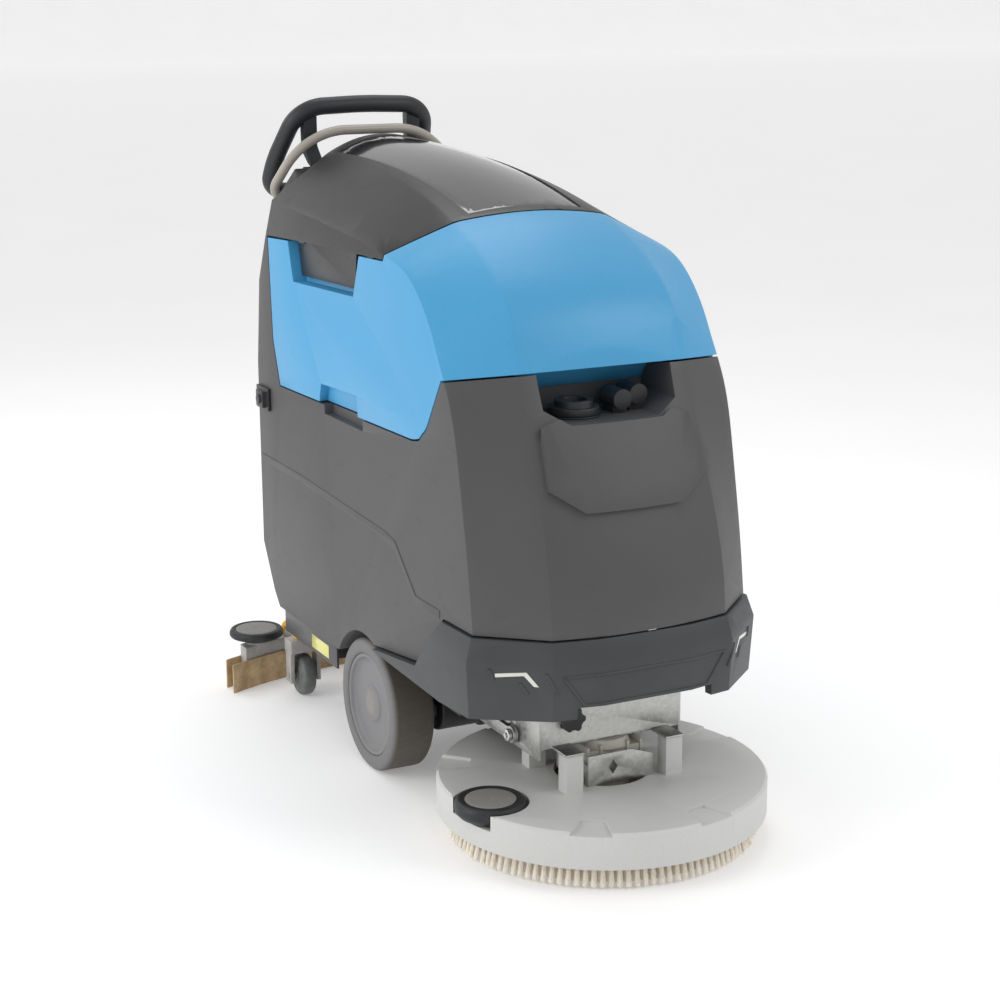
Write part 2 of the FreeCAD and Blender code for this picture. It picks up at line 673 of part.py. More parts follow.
pin_bores = [rod("x", pivot_y, z, -TRAY_HALF, TRAY_HALF, PIN) for z in (S["arm_low"], upper_z)]
pin_bores.append(rod("x", squeegee_pivot_y, squeegee_pivot_z, -LUG_IN - 12, LUG_IN + 12, PIN))
node(cut(tray, *pin_bores), "chassis_tray")


def pin_set(y, heights, reach_in):
    """A headed pin through each arm end, on both sides."""
    pins = []
    for z in heights:
        for side in (-1, 1):
            inner = side * reach_in
            outer = side * (cheek_out + S["arm_steel"] + 3)
            head = outer + side * 6
            low, high = (inner, outer) if side > 0 else (outer, inner)
            head_low, head_high = (outer, head) if side > 0 else (head, outer)
            shank = rod("x", y, z, low, high, PIN)
            cap = rod("x", y, z, head_low, head_high, 10)
            pins.append(fuse(shank, cap))
    return pins


squeegee_pin = rod("x", squeegee_pivot_y, squeegee_pivot_z, -LUG_IN - 12, LUG_IN + 12, PIN)
node(group(*pin_set(pivot_y, (S["arm_low"], upper_z), cheek_out - 10), squeegee_pin), "chassis_pins")

# ---------------------------------------------------------------------------------
# Drive wheels, transaxle and drive motor.

axle_z = S["wheel_diameter"] / 2
wide = S["wheel_width"]
rim_r = S["rim_diameter"] / 2
tyre_r = S["wheel_diameter"] / 2
shaft_r = S["axle_diameter"] / 2
STUB = 56
for side, flip in (("right", False), ("left", True)):
    face = S["wheel_face"] if flip else -S["wheel_face"]
    tyre = turned([(rim_r, 0), (tyre_r - 7, 0), (tyre_r, 7), (tyre_r, wide - 7), (tyre_r - 7, wide),
                   (rim_r, wide)], "x", (face, 0, axle_z), flip)
    node(tyre, f"{side}_tyre")
    rim = turned([(0, 5), (27, 5), (31, 9), (31, 13), (rim_r - 4, 13), (rim_r, 9), (rim_r, wide - 4),
                  (rim_r - 8, wide - 4), (rim_r - 8, 22), (34, 22), (34, wide), (shaft_r, wide),
                  (shaft_r, wide + STUB), (0, wide + STUB)], "x", (face, 0, axle_z), flip)
    node(rim, f"{side}_rim")

inner_face = S["wheel_face"] - wide
MOTOR_Y = -64
casing = rod("x", 0, axle_z, -62, 62, 50)
tubes = rod("x", 0, axle_z, -(inner_face - 6), inner_face - 6, 22)
saddle = box(-58, 58, -24, 24, axle_z, TRAY_TOP - steel)
bores = [rod("x", 0, axle_z, inner_face - STUB - 6, inner_face, shaft_r + S["running_gap"]),
         rod("x", 0, axle_z, -inner_face, -(inner_face - STUB - 6), shaft_r + S["running_gap"])]
gear_end = rod("x", MOTOR_Y, axle_z + 2, -62, -14, 46)
gear_bridge = box(-60, -16, MOTOR_Y, 0, axle_z - 38, axle_z + 40)
node(cut(fuse(casing, tubes, saddle, gear_end, gear_bridge), *bores), "transaxle")
motor_can = rod("x", MOTOR_Y, axle_z + 2, -144, -62.4, 41.5)
motor_nose = rod("x", MOTOR_Y, axle_z + 2, -154, -144, 18)
node(fuse(motor_can, motor_nose), "drive_motor")

# ---------------------------------------------------------------------------------
# Deck lift: two pairs of parallel arms between the chassis and the deck hanger.

hanger_y = pivot_y - S["arm_length"]
arm_in = cheek_out + 2


def lift_arm(side, z, front_gap):
    low, high = (arm_in, arm_in + S["arm_steel"]) if side > 0 else (-arm_in - S["arm_steel"], -arm_in)
    bar = box(low, high, hanger_y, pivot_y, z - 11, z + 11)
    ends = [rod("x", y, z, low, high, 14) for y in (hanger_y, pivot_y)]
    holes = [rod("x", pivot_y, z, low, high, PIN + S["running_gap"]),
             rod("x", hanger_y, z, low, high, PIN + front_gap)]
    return cut(fuse(bar, *ends), *holes)


node(group(*[lift_arm(side, S["arm_low"], S["running_gap"]) for side in (-1, 1)]), "lower_arms")
node(group(*[lift_arm(side, upper_z, 0.3) for side in (-1, 1)]), "upper_arms")

# ---------------------------------------------------------------------------------
# Brush deck: galvanised hanger, cast cover, gearmotor, plate, knob and roller.

deck_y = -S["deck_offset"]
deck_r = S["deck_diameter"] / 2
deck_top = S["deck_top"]
hanger_front = deck_y - 29
HANGER_LOW = 157
HANGER_HIGH = 232
POST_X = 90
POST_FRONT = 62

hanger = [box(-cheek_out, cheek_out, hanger_front, hanger_front + steel, HANGER_LOW, HANGER_HIGH),
          box(-cheek_out, cheek_out, hanger_front, hanger_y + 18, HANGER_LOW, HANGER_LOW + steel)]
for x0 in (-POST_X - 16, POST_X - 16):
    hanger.append(box(x0, x0 + 32, deck_y - POST_FRONT - 14, hanger_front, HANGER_LOW, HANGER_LOW + steel))
for x0 in (-cheek_out, cheek_out - steel):
    hanger.append(box(x0, x0 + steel, hanger_front, hanger_y + 18, S["arm_low"] - 20, HANGER_HIGH))
hanger_bores = [rod("x", hanger_y, z, -TRAY_HALF, TRAY_HALF, PIN) for z in (S["arm_low"], upper_z)]
node(cut(fuse(*hanger), *hanger_bores), "deck_hanger")
node(group(*pin_set(hanger_y, (S["arm_low"], upper_z), cheek_out - 10)), "hanger_pins")

OPENING = 77
TOP_THICK = 12
deck_wall = S["deck_wall"]
skirt_low = S["deck_skirt_low"]
dish = turned([(OPENING, deck_top - TOP_THICK), (deck_r - deck_wall, deck_top - TOP_THICK),
               (deck_r - deck_wall, skirt_low), (deck_r, skirt_low), (deck_r, deck_top - 4),
               (deck_r - 4, deck_top), (OPENING, deck_top)], "z", (0, deck_y, 0))
roller_r = S["roller_diameter"] / 2
ROLLER_X = -220
ROLLER_Y = -42
NOTCH_FLOOR = 66
notch = rod("z", ROLLER_X, deck_y + ROLLER_Y, NOTCH_FLOOR + 5, deck_top + 40, roller_r + 4)
shelf_disc = rod("z", ROLLER_X, deck_y + ROLLER_Y, NOTCH_FLOOR, NOTCH_FLOOR + 5, roller_r + 8)
shelf_cut = common(shelf_disc, rod("z", 0, deck_y, NOTCH_FLOOR, NOTCH_FLOOR + 5, deck_r))
notch_wall = cut(common(rod("z", ROLLER_X, deck_y + ROLLER_Y, NOTCH_FLOOR, deck_top, roller_r + 8),
                        rod("z", 0, deck_y, NOTCH_FLOOR, deck_top, deck_r)),
                 rod("z", ROLLER_X, deck_y + ROLLER_Y, NOTCH_FLOOR - 1, deck_top + 1, roller_r + 4))
roller_post = rod("z", ROLLER_X, deck_y + ROLLER_Y, NOTCH_FLOOR + 5, deck_top - 4, 7)
posts = [box(x - 15, x + 15, deck_y + y - 13, deck_y + y + 13, deck_top - 2, HANGER_LOW)
         for x in (-POST_X, POST_X) for y in (-POST_FRONT, POST_FRONT)]
pockets = []
POCKET_COUNT = 7
for i in range(POCKET_COUNT):
    turn = -78 + i * 360 / (POCKET_COUNT + 1)
    wedge = prism("z", [(-20, float(deck_r) - 52), (20, float(deck_r) - 52), (34, float(deck_r) + 5),
                        (-34, float(deck_r) + 5)], deck_top - 5, deck_top + 2)
    wedge.Placement = FreeCAD.Placement(FreeCAD.Vector(0, float(deck_y), 0),
                                        FreeCAD.Rotation(FreeCAD.Vector(0, 0, 1), turn))
    pockets.append(wedge)
cover = fuse(cut(dish, notch, *pockets), shelf_cut, notch_wall, roller_post, *posts)
node(cover, "deck_cover")

roller_low = NOTCH_FLOOR + 6
roller_high = roller_low + S["roller_height"] + 6
roller = turned([(7 + S["running_gap"], roller_low), (roller_r - 16, roller_low),
                 (roller_r, roller_low + 10), (roller_r, roller_high - 5), (roller_r - 5, roller_high),
                 (0, roller_high), (0, deck_top - 3.6), (7 + S["running_gap"], deck_top - 3.6)], "z",
                (ROLLER_X, deck_y + ROLLER_Y, 0))
node(roller, "deck_roller")

GEAR_HALF = 57
GEAR_FRONT = 46
gear_case = box(-GEAR_HALF, GEAR_HALF, deck_y - GEAR_FRONT, deck_y + GEAR_FRONT, deck_top - 4, 130)
gear_lid = box(-GEAR_HALF + 6, GEAR_HALF - 6, deck_y - GEAR_FRONT + 6, deck_y + GEAR_FRONT, 130, 144)
gear_dome = cone(0, deck_y, 144, HANGER_LOW, 46, 40)
gear_ribs = [box(x - 2, x + 2, deck_y - GEAR_FRONT + 3, deck_y + GEAR_FRONT, 130, 152)
             for x in (-48, -24, 24, 48)]
output_shaft = rod("z", 0, deck_y, 70, deck_top - 4, 14)
node(fuse(gear_case, gear_lid, gear_dome, *gear_ribs, output_shaft), "brush_gearbox")
node(rod("y", 0, HANGER_LOW + steel + 40.5, hanger_front + steel + 2, hanger_y + 50, 40), "brush_motor")

PLATE_HALF = 59
plate_y = deck_y - POST_FRONT
front_plate = prism("y", [(-PLATE_HALF, deck_top), (PLATE_HALF, deck_top), (PLATE_HALF, 132),
                          (20, 146), (-PLATE_HALF, 146)], plate_y, plate_y + steel)
gussets = [box(x0, x0 + steel, plate_y + steel, deck_y - GEAR_FRONT - 1, deck_top, 130)
           for x0 in (-PLATE_HALF, PLATE_HALF - steel)]
diamond = prism("y", [(-22, 122), (-14, 110), (-6, 122), (-14, 134)], plate_y - 5, plate_y + steel + 5)
node(cut(fuse(front_plate, *gussets), diamond), "deck_plate")

KNOB_X = -76
KNOB_Z = 205
knob_disc = rod("y", KNOB_X, KNOB_Z, hanger_front - 18, hanger_front - 4, 17)
knob_stem = rod("y", KNOB_X, KNOB_Z, hanger_front - 4, hanger_front - 0.4, 8)
lobes = [rod("y", KNOB_X + 15 * math.cos(i * math.pi / 3), KNOB_Z + 15 * math.sin(i * math.pi / 3),
             hanger_front - 18, hanger_front - 4, 6) for i in range(6)]
node(fuse(knob_disc, knob_stem, *lobes), "deck_knob")

# ---------------------------------------------------------------------------------
# Brush: a block on the gearbox shaft with a ring of bristles under it.

brush_r = S["brush_diameter"] / 2
low = S["brush_block_low"]
high = S["brush_block_high"]
block_body = turned([(14 + S["running_gap"], low), (brush_r - 4, low), (brush_r - 4, high), (46, high),
                     (46, deck_top - 8), (14 + S["running_gap"], deck_top - 8)], "z", (0, deck_y, 0))
node(block_body, "brush_block")
bristle_ring = turned([(110, 0), (brush_r, 0), (brush_r - 5, low), (110, low)], "z", (0, deck_y, 0))
node(bristle_ring, "brush_bristles")

# ---------------------------------------------------------------------------------
# Squeegee: arm, curved body, two blades, casters, end rollers, knobs and spigot.

swivel_y = S["squeegee_reach"] - 25
arc_y = S["squeegee_reach"] - S["squeegee_radius"]
arc_r = S["squeegee_radius"]
body_top = S["squeegee_top"]
ARM_LOW = 112
ARM_HIGH = 128
knuckle = rod("x", squeegee_pivot_y, squeegee_pivot_z, -LUG_IN + 0.5, LUG_IN - 0.5, 15)
beam = box(-26, 26, squeegee_pivot_y + 4, swivel_y, ARM_LOW, ARM_HIGH)
eye = rod("z", 0, swivel_y, ARM_LOW, ARM_HIGH, 26)
swivel_pin = rod("z", 0, swivel_y, body_top + 6, ARM_LOW, 10)
arm_bore = rod("x", squeegee_pivot_y, squeegee_pivot_z, -LUG_IN, LUG_IN, PIN + S["running_gap"])
node(cut(fuse(knuckle, beam, eye, swivel_pin), arm_bore), "squeegee_arm")


def arc_band(inner, outer, low, high, half):
    """Part of a ring about the squeegee's centre of curvature."""
    ring = cut(rod("z", 0, arc_y, low, high, outer), rod("z", 0, arc_y, low - 1, high + 1, inner))
    return common(ring, box(-half, half, 300, arc_y + outer + 20, low, high))


def chord_y(radius, x):
    """How far back a point of an arc of this radius lies at a given x."""
    return float(arc_y) + math.sqrt(float(radius) ** 2 - x ** 2)


body_in = arc_r - S["squeegee_depth"]
body_half = S["squeegee_body_half"]
caster_x = float(S["caster_side"])
caster_y = float(S["squeegee_reach"] - S["caster_ahead"])
caster_r = S["caster_diameter"] / 2
band = arc_band(body_in, arc_r, body_top - 26, body_top, body_half)
lower_band = arc_band(body_in, arc_r, 26, body_top - 26, body_half)
foot_gap = box(-218, 218, 300, arc_y + arc_r + 20, 20, body_top - 26)
boss_ring = cut(rod("z", 0, swivel_y, body_top, ARM_LOW - 1, 24),
                rod("z", 0, swivel_y, body_top + 4, ARM_LOW, 10 + S["running_gap"]))
squeegee_pieces = [band, cut(lower_band, foot_gap), boss_ring]
END_X = 250
end_y = chord_y(float(arc_r) - 15, END_X)
CLAMP_X = 175
clamp_y = chord_y(float(arc_r) - 12.5, CLAMP_X)
for side in (-1, 1):
    x = side * caster_x
    squeegee_pieces.append(box(x - 30, x + 30, caster_y - 18, caster_y + 18, 88, 112))
    arm_x = x - side * 15
    squeegee_pieces.append(box(arm_x - 9, arm_x + 9, caster_y + 17.9, chord_y(body_in, caster_x) + 5,
                               body_top - 4, 96))
    for cheek in (-30, 23):
        squeegee_pieces.append(box(x + cheek, x + cheek + 7, caster_y - 13, caster_y + 13, 28, 92))
    squeegee_pieces.append(rod("x", caster_y, caster_r, x - 32, x + 32, 5))
    squeegee_pieces.append(rod("z", side * END_X, end_y, body_top - 1, 106, 6))
    squeegee_pieces.append(rod("z", side * END_X, end_y, body_top - 1, 86, 20))
    squeegee_pieces.append(rod("z", side * CLAMP_X, clamp_y, body_top - 1, 100, 5))
    squeegee_pieces.append(rod("z", x, caster_y, 111, 128, 5))
node(fuse(*squeegee_pieces), "squeegee_body")
blade = S["blade_thick"]
BLADE_SEAT = 0.2
node(arc_band(body_in - blade, body_in - BLADE_SEAT, 0, S["blade_height"], S["squeegee_half"]), "front_blade")
node(arc_band(arc_r + BLADE_SEAT, arc_r + blade, 0, S["blade_height"], S["squeegee_half"]), "rear_blade")
SPIGOT_X = 62
spigot_y = chord_y(float(arc_r) - 15, SPIGOT_X)
spigot = turned([(18, body_top), (26, body_top), (26, body_top + 4), (22, body_top + 6), (22, body_top + 48),
                 (18, body_top + 48)], "z", (SPIGOT_X, spigot_y, 0))
node(spigot, "suction_spigot")

roll_r = S["end_roller_diameter"] / 2
for side, sign in (("right", -1), ("left", 1)):
    x = sign * caster_x
    half = S["caster_width"] / 2
    wheel = turned([(5 + S["running_gap"], -half - 4), (10, -half - 4), (10, -half), (caster_r - 6, -half),
                    (caster_r, 6 - half), (caster_r, half - 6), (caster_r - 6, half), (10, half),
                    (10, half + 4), (5 + S["running_gap"], half + 4)], "x", (x, caster_y, caster_r))
    node(wheel, f"{side}_caster_wheel")
    top = 88 + S["end_roller_height"]
    roller = turned([(6 + S["running_gap"], 86.4), (roll_r - 18, 86.4), (roll_r, 96), (roll_r, top - 3),
                     (roll_r - 3, top), (0, top), (0, 106.4), (6 + S["running_gap"], 106.4)], "z",
                    (sign * END_X, end_y, 0))
    node(roller, f"{side}_end_roller")
    grip_r = S["knob_diameter"] / 2
    knob = turned([(5 + S["running_gap"], 112.4), (grip_r - 3, 112.4), (grip_r, 116), (grip_r, 124),
                   (grip_r - 7, 134), (0, 136), (0, 128.4), (5 + S["running_gap"], 128.4)], "z",
                  (x, caster_y, 0))
    node(knob, f"{side}_height_knob")
    clamp = turned([(5 + S["running_gap"], body_top + 0.4), (11, body_top + 0.4), (13.5, body_top + 6),
                    (13.5, body_top + 20), (9, body_top + 26), (0, body_top + 27), (0, 100.4),
                    (5 + S["running_gap"], 100.4)], "z", (sign * CLAMP_X, clamp_y, 0))
    node(clamp, f"{side}_clamp_knob")

# ---------------------------------------------------------------------------------
# Console, dash, controls, handlebar and operator bail.

console_half = S["console_half"]
console_front = tail + 4
CONSOLE_SLOPE = 32
slope = math.radians(CONSOLE_SLOPE)
dash_top = (console_front + 20, float(S["console_height"]) + 5)
DASH_LONG = 112
dash_foot = (dash_top[0] + DASH_LONG * math.cos(slope), dash_top[1] - DASH_LONG * math.sin(slope))
console_outline = [(tail + 1.4, lid_seam - 84), (tail + 1.4, lid_seam - 8), (console_front, lid_seam - 2),
                   (console_front, dash_top[1] - 14), dash_top, dash_foot, (dash_foot[0] - 4, dash_foot[1] - 30),
                   (tail + 60, lid_seam - 14), (tail + 22, lid_seam - 84)]
console_block = prism("x", console_outline, -console_half, console_half)
bail_y = S["bail_pivot_reach"]
bail_z = S["bail_pivot_height"]
bail_r = S["bail_tube"] / 2
bosses = [rod("x", bail_y, bail_z, console_half, console_half + 10, 16),
          rod("x", bail_y, bail_z, -console_half - 10, -console_half, 16)]
sockets = [rod("x", bail_y, bail_z, console_half + 1, console_half + 11, bail_r + S["running_gap"]),
           rod("x", bail_y, bail_z, -console_half - 11, -console_half - 1, bail_r + S["running_gap"])]
node(cut(fuse(console_block, *bosses), *sockets), "control_console")

DASH_TURN = FreeCAD.Rotation(FreeCAD.Vector(1, 0, 0), -CONSOLE_SLOPE)


def on_dash(item, x, down, rise):
    """Stand a piece on the sloping dash, so far across, down the slope and above it."""
    y = dash_top[0] + down * math.cos(slope) + rise * math.sin(slope)
    z = dash_top[1] - down * math.sin(slope) + rise * math.cos(slope)
    item.Placement = FreeCAD.Placement(FreeCAD.Vector(x, y, z), DASH_TURN)
    return item


def dash_rod(x, down, rise, height, radius):
    item = doc.addObject("Part::Cylinder", "Control")
    bind(item, "Radius", radius)
    bind(item, "Height", height)
    return on_dash(item, x, down, rise)


def dash_block(x, down, rise, wide, deep, high):
    item = doc.addObject("Part::Box", "Control")
    bind(item, "Length", wide)
    bind(item, "Width", deep)
    bind(item, "Height", high)
    return on_dash(item, x - wide / 2, down - deep / 2, rise)


PANEL_THICK = 5
BUTTON_R = 9
BUTTON_DOWN = 78
KEY_X = -86
SPEED_X = 82
CONTROL_DOWN = 44
button_places = (("brush_button", -24), ("vacuum_button", 24))
panel = dash_block(0, DASH_LONG / 2, 0.1, 260, 100, PANEL_THICK - 0.1)
panel_holes = [dash_rod(x, BUTTON_DOWN, -1, PANEL_THICK + 2, BUTTON_R + 0.4) for _, x in button_places]
lock = dash_rod(KEY_X, CONTROL_DOWN, PANEL_THICK, 6, 13)
node(cut(fuse(panel, lock), *panel_holes), "dash_panel")
for label, x in button_places:
    node(dash_rod(x, BUTTON_DOWN, 2.4, PANEL_THICK + 1, BUTTON_R), label)
key_stem = dash_rod(KEY_X, CONTROL_DOWN, PANEL_THICK + 6.4, 4, 6)
key_bow = dash_block(KEY_X, CONTROL_DOWN, PANEL_THICK + 10.4, 22, 4, 18)
node(fuse(key_stem, key_bow), "key")
speed_skirt = dash_rod(SPEED_X, CONTROL_DOWN, PANEL_THICK + 0.4, 5, 19)
speed_grip = dash_rod(SPEED_X, CONTROL_DOWN, PANEL_THICK + 5.4, 13, 14)
pointer = dash_block(SPEED_X, CONTROL_DOWN - 8, PANEL_THICK + 18.4, 3, 10, 2)
node(fuse(speed_skirt, speed_grip, pointer), "speed_knob")

tilt = math.radians(float(S["handle_tilt"]))


def in_plane(base_y, base_z, lean, x, rise):
    """A point of a plane that leans forward, so far across and so far up it."""
    return FreeCAD.Vector(x, base_y - rise * math.sin(lean), base_z + rise * math.cos(lean))


grip_half = float(S["handle_half"])
grip_length = float(S["handle_length"])
base_y = float(S["handle_reach"])
base_z = float(S["handle_low"])
grip_points = [in_plane(base_y, base_z, tilt, x, rise)
               for x, rise in ((-grip_half + 4, 0), (-grip_half, 70), (-grip_half + 26, grip_length - 6),
                               (0, grip_length), (grip_half - 26, grip_length - 6), (grip_half, 70),
                               (grip_half - 4, 0))]
ring = bent_tube(grip_points, [38, 300, 62, 900, 62, 300, 38], float(S["handle_tube"]), True)
spokes = []
for x in (-100, 70):
    foot = Part.makePolygon([FreeCAD.Vector(x, y, z) for y, z in
                             ((dash_foot[0] + 0.4, dash_foot[1] - 1), (base_y, base_z + 10),
                              (base_y + 4, base_z - 10), (dash_foot[0] - 3.4, dash_foot[1] - 28),
                              (dash_foot[0] + 0.4, dash_foot[1] - 1))])
    spokes.append(Part.Face(foot).extrude(FreeCAD.Vector(30, 0, 0)))
strut_top = in_plane(base_y, base_z, tilt, 0, grip_length - 22)
for x in (-118, 92):
    strut = Part.makePolygon([FreeCAD.Vector(x, y, z) for y, z in
                              ((console_front + 2, dash_top[1] - 11), (strut_top.y - 8, strut_top.z - 58),
                               (strut_top.y - 8, strut_top.z + 8), (strut_top.y + 12, strut_top.z - 4),
                               (strut_top.y + 8, strut_top.z - 66), (console_front + 34, dash_top[1] + 6),
                               (console_front + 20.3, dash_top[1] + 0.6),
                               (console_front + 2, dash_top[1] - 11))])
    spokes.append(Part.Face(strut).extrude(FreeCAD.Vector(26, 0, 0)))
handle = ring.fuse(spokes).cut(console_block_shape(console_outline, float(console_half), 0.4))
node(solid(handle), "handlebar")

BAIL_LEAN = math.radians(17)
BAIL_SHOULDER = 67
bail_half = float(S["bail_half"])
bail_length = float(S["bail_length"])
socket_end = float(console_half) + 1.4
bail_points = [in_plane(float(bail_y), float(bail_z), BAIL_LEAN, x, rise)
               for x, rise in ((-socket_end, 0), (-bail_half, 0),
                               (BAIL_SHOULDER - bail_half, bail_length),
                               (bail_half - BAIL_SHOULDER, bail_length), (bail_half, 0), (socket_end, 0))]
node(solid(bent_tube(bail_points, [0, 22, 130, 130, 22, 0], float(S["bail_tube"]))), "operator_bail")

# ---------------------------------------------------------------------------------
# Fittings on the lower tank and the equipment inside it.

filler_y = nose + 145
strainer = turned([(33, POCKET_FLOOR - 44), (37.6, POCKET_FLOOR - 44), (37.6, POCKET_FLOOR + 0.4),
                   (41.5, POCKET_FLOOR + 0.4), (41.5, POCKET_FLOOR + 3), (33, POCKET_FLOOR + 3)], "z",
                  (FILLER_X, filler_y, 0))
node(strainer, "filler_strainer")
cap_low = POCKET_FLOOR + 3.4
cap = rod("z", FILLER_X, filler_y, cap_low, cap_low + 12, 40)
cap_grip = cut(rod("z", FILLER_X, filler_y, cap_low + 12, cap_low + 22, 30),
               rod("z", FILLER_X, filler_y, cap_low + 12, cap_low + 23, 20))
node(fuse(cap, cap_grip), "filler_cap")
coupling_y = nose + 140
coupling = [rod("y", 34, POCKET_FLOOR + 22, coupling_y - 22, coupling_y + 26, 16),
            box(22, 46, coupling_y - 14, coupling_y + 18, POCKET_FLOOR + 0.4, POCKET_FLOOR + 20),
            rod("y", 68, POCKET_FLOOR + 26, coupling_y - 12, coupling_y + 34, 16),
            box(56, 79, coupling_y - 4, coupling_y + 26, POCKET_FLOOR + 0.4, POCKET_FLOOR + 24),
            box(30, 72, coupling_y - 2, coupling_y + 12, POCKET_FLOOR + 4, POCKET_FLOOR + 14)]
node(fuse(*coupling), "solution_coupling")

half_width = S["body_width"] / 2
catch_low = S["battery_deck"] - 58
catch_back = S["tail_reach"] - 3
catch = [box(-half_width - 6, -half_width - 0.4, catch_back - 60, catch_back, catch_low, catch_low + 42),
         box(-half_width - 14, -half_width - 6, catch_back - 52, catch_back - 18, catch_low + 6, catch_low + 36),
         rod("x", catch_back - 36, catch_low + 21, -half_width - 18, -half_width - 14, 9)]
node(fuse(*catch), "rear_catch")
tail_r = 9
brass = turned([(5, -14), (tail_r - 0.2, -14), (tail_r - 0.2, 0.4), (14, 0.4), (14, 10), (7, 12), (9, 16),
                (7, 22), (9, 26), (7, 32), (8, 44), (5, 44)], "y",
               (-half_width + 28, S["tail_reach"], S["battery_deck"] - 8))
node(brass, "brass_hose_tail")
cover_plate = box(-130, 130, S["tail_reach"] + 0.4, S["tail_reach"] + 5, 330, 560)
louvres = [box(-90, 90, S["tail_reach"] + 4, S["tail_reach"] + 8, z, z + 5) for z in (380, 400, 420, 440, 460)]
screws = [rod("y", x, z, S["tail_reach"] + 5, S["tail_reach"] + 7, 5) for x in (-116, 116) for z in (344, 546)]
node(fuse(cover_plate, *louvres, *screws), "rear_cover")

RISER_TOP = 276
battery_front = -118
floor_lift = tank_wall + 0.9
riser = prism("x", [(battery_front, RISER_TOP), (battery_front + float(S["battery_long"]) + 6, RISER_TOP),
                    (battery_front + float(S["battery_long"]) + 6, skirt + floor_lift),
                    (109, skirt + floor_lift + 0.4), (-28, ARCH_FRONT + floor_lift + 0.4),
                    (battery_front, ARCH_FRONT + 12 + floor_lift)], -140, 140)
node(riser, "battery_riser")
batteries = []
for side in (-1, 1):
    middle = side * (S["battery_wide"] + S["battery_gap"]) / 2
    case = box(middle - S["battery_wide"] / 2, middle + S["battery_wide"] / 2, battery_front + 2,
               battery_front + 2 + S["battery_long"], RISER_TOP, RISER_TOP + S["battery_high"])
    terminals = [rod("z", middle + offset, battery_front + 30, RISER_TOP + S["battery_high"],
                     RISER_TOP + S["battery_high"] + 12, 8) for offset in (-50, 50)]
    batteries.append(fuse(case, *terminals))
node(group(*batteries), "batteries")
node(box(-90, 90, S["tail_reach"] - 38, S["tail_reach"] - tank_wall - 0.4, 300, 420), "motor_controller")
FILTER_Y = 232
filter_bowl = rod("z", -104, FILTER_Y, 96, TRAY_TOP - steel - 22, 34)
filter_head = rod("z", -104, FILTER_Y, TRAY_TOP - steel - 22, TRAY_TOP - steel, 40)
node(fuse(filter_bowl, filter_head), "solution_filter")

VACUUM_Y = 262
vacuum_top = battery_deck + gap - 3.2
vacuum = [rod("z", 0, VACUUM_Y, vacuum_top - S["vacuum_height"], vacuum_top - 30,
              S["vacuum_diameter"] / 2 - 10),
          rod("z", 0, VACUUM_Y, vacuum_top - 30, vacuum_top, S["vacuum_diameter"] / 2)]
node(fuse(*vacuum), "vacuum_motor")
pipe_y = VACUUM_Y + 60
pipe_top = lid_seam - 56
floor_z = battery_deck + gap + tank_wall - 1
pipe = turned([(19, floor_z), (30, floor_z), (30, floor_z + 6), (22, floor_z + 8), (22, pipe_top - 40),
               (34, pipe_top - 40), (34, pipe_top), (31, pipe_top), (31, pipe_top - 36), (19, pipe_top - 36)],
              "z", (0, pipe_y, 0))
node(pipe, "vacuum_standpipe")

# ---------------------------------------------------------------------------------
# Check every object, then write one file for each node.

doc.recompute()
for item in doc.Objects:
    if "Invalid" in item.State or "Error" in item.State:
        raise RuntimeError(f"{item.Name} ({item.Label}) is {item.State}")
for item in nodes:
    if item.Shape.isNull() or not item.Shape.isValid() or not item.Shape.Solids:
        raise RuntimeError(f"{item.Label} has no valid solid")
os.makedirs("parts", exist_ok=True)
for item in nodes:
    item.Shape.exportStep(os.path.join("parts", f"{item.Label}.step"))
print(len(nodes), "nodes written")
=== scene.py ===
import json
import math

import bmesh
import bpy
from mathutils import Matrix, Vector
from mathutils.bvhtree import BVHTree

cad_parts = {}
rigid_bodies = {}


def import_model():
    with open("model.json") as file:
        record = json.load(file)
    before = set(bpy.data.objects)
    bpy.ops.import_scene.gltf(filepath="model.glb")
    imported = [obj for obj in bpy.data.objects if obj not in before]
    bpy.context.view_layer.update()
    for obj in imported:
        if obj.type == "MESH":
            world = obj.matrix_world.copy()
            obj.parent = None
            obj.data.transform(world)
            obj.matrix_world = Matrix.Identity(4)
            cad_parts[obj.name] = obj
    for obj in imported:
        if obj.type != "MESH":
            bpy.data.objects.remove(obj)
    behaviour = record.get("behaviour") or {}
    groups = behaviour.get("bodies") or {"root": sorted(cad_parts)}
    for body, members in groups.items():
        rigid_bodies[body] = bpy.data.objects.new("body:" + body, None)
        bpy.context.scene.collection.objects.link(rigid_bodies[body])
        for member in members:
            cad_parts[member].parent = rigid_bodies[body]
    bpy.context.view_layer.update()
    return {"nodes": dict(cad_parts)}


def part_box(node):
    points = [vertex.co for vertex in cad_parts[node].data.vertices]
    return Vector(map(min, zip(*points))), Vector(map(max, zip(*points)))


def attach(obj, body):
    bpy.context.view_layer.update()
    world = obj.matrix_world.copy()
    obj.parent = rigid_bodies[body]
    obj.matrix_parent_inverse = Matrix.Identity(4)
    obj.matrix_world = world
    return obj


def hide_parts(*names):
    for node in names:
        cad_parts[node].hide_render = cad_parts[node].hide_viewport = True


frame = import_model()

MM = 0.001
UP = Vector((0, 0, 1))
LEFT = Vector((1, 0, 0))
REAR = Vector((0, 1, 0))
SIDES = (("left", 1), ("right", -1))


def mm(*values):
    """A point given in millimetres."""
    return Vector(values) * MM


# ---------------------------------------------------------------------------------
# Shader maths: a socket that adds, subtracts and multiplies, and a finish that holds
# the nodes of one material.


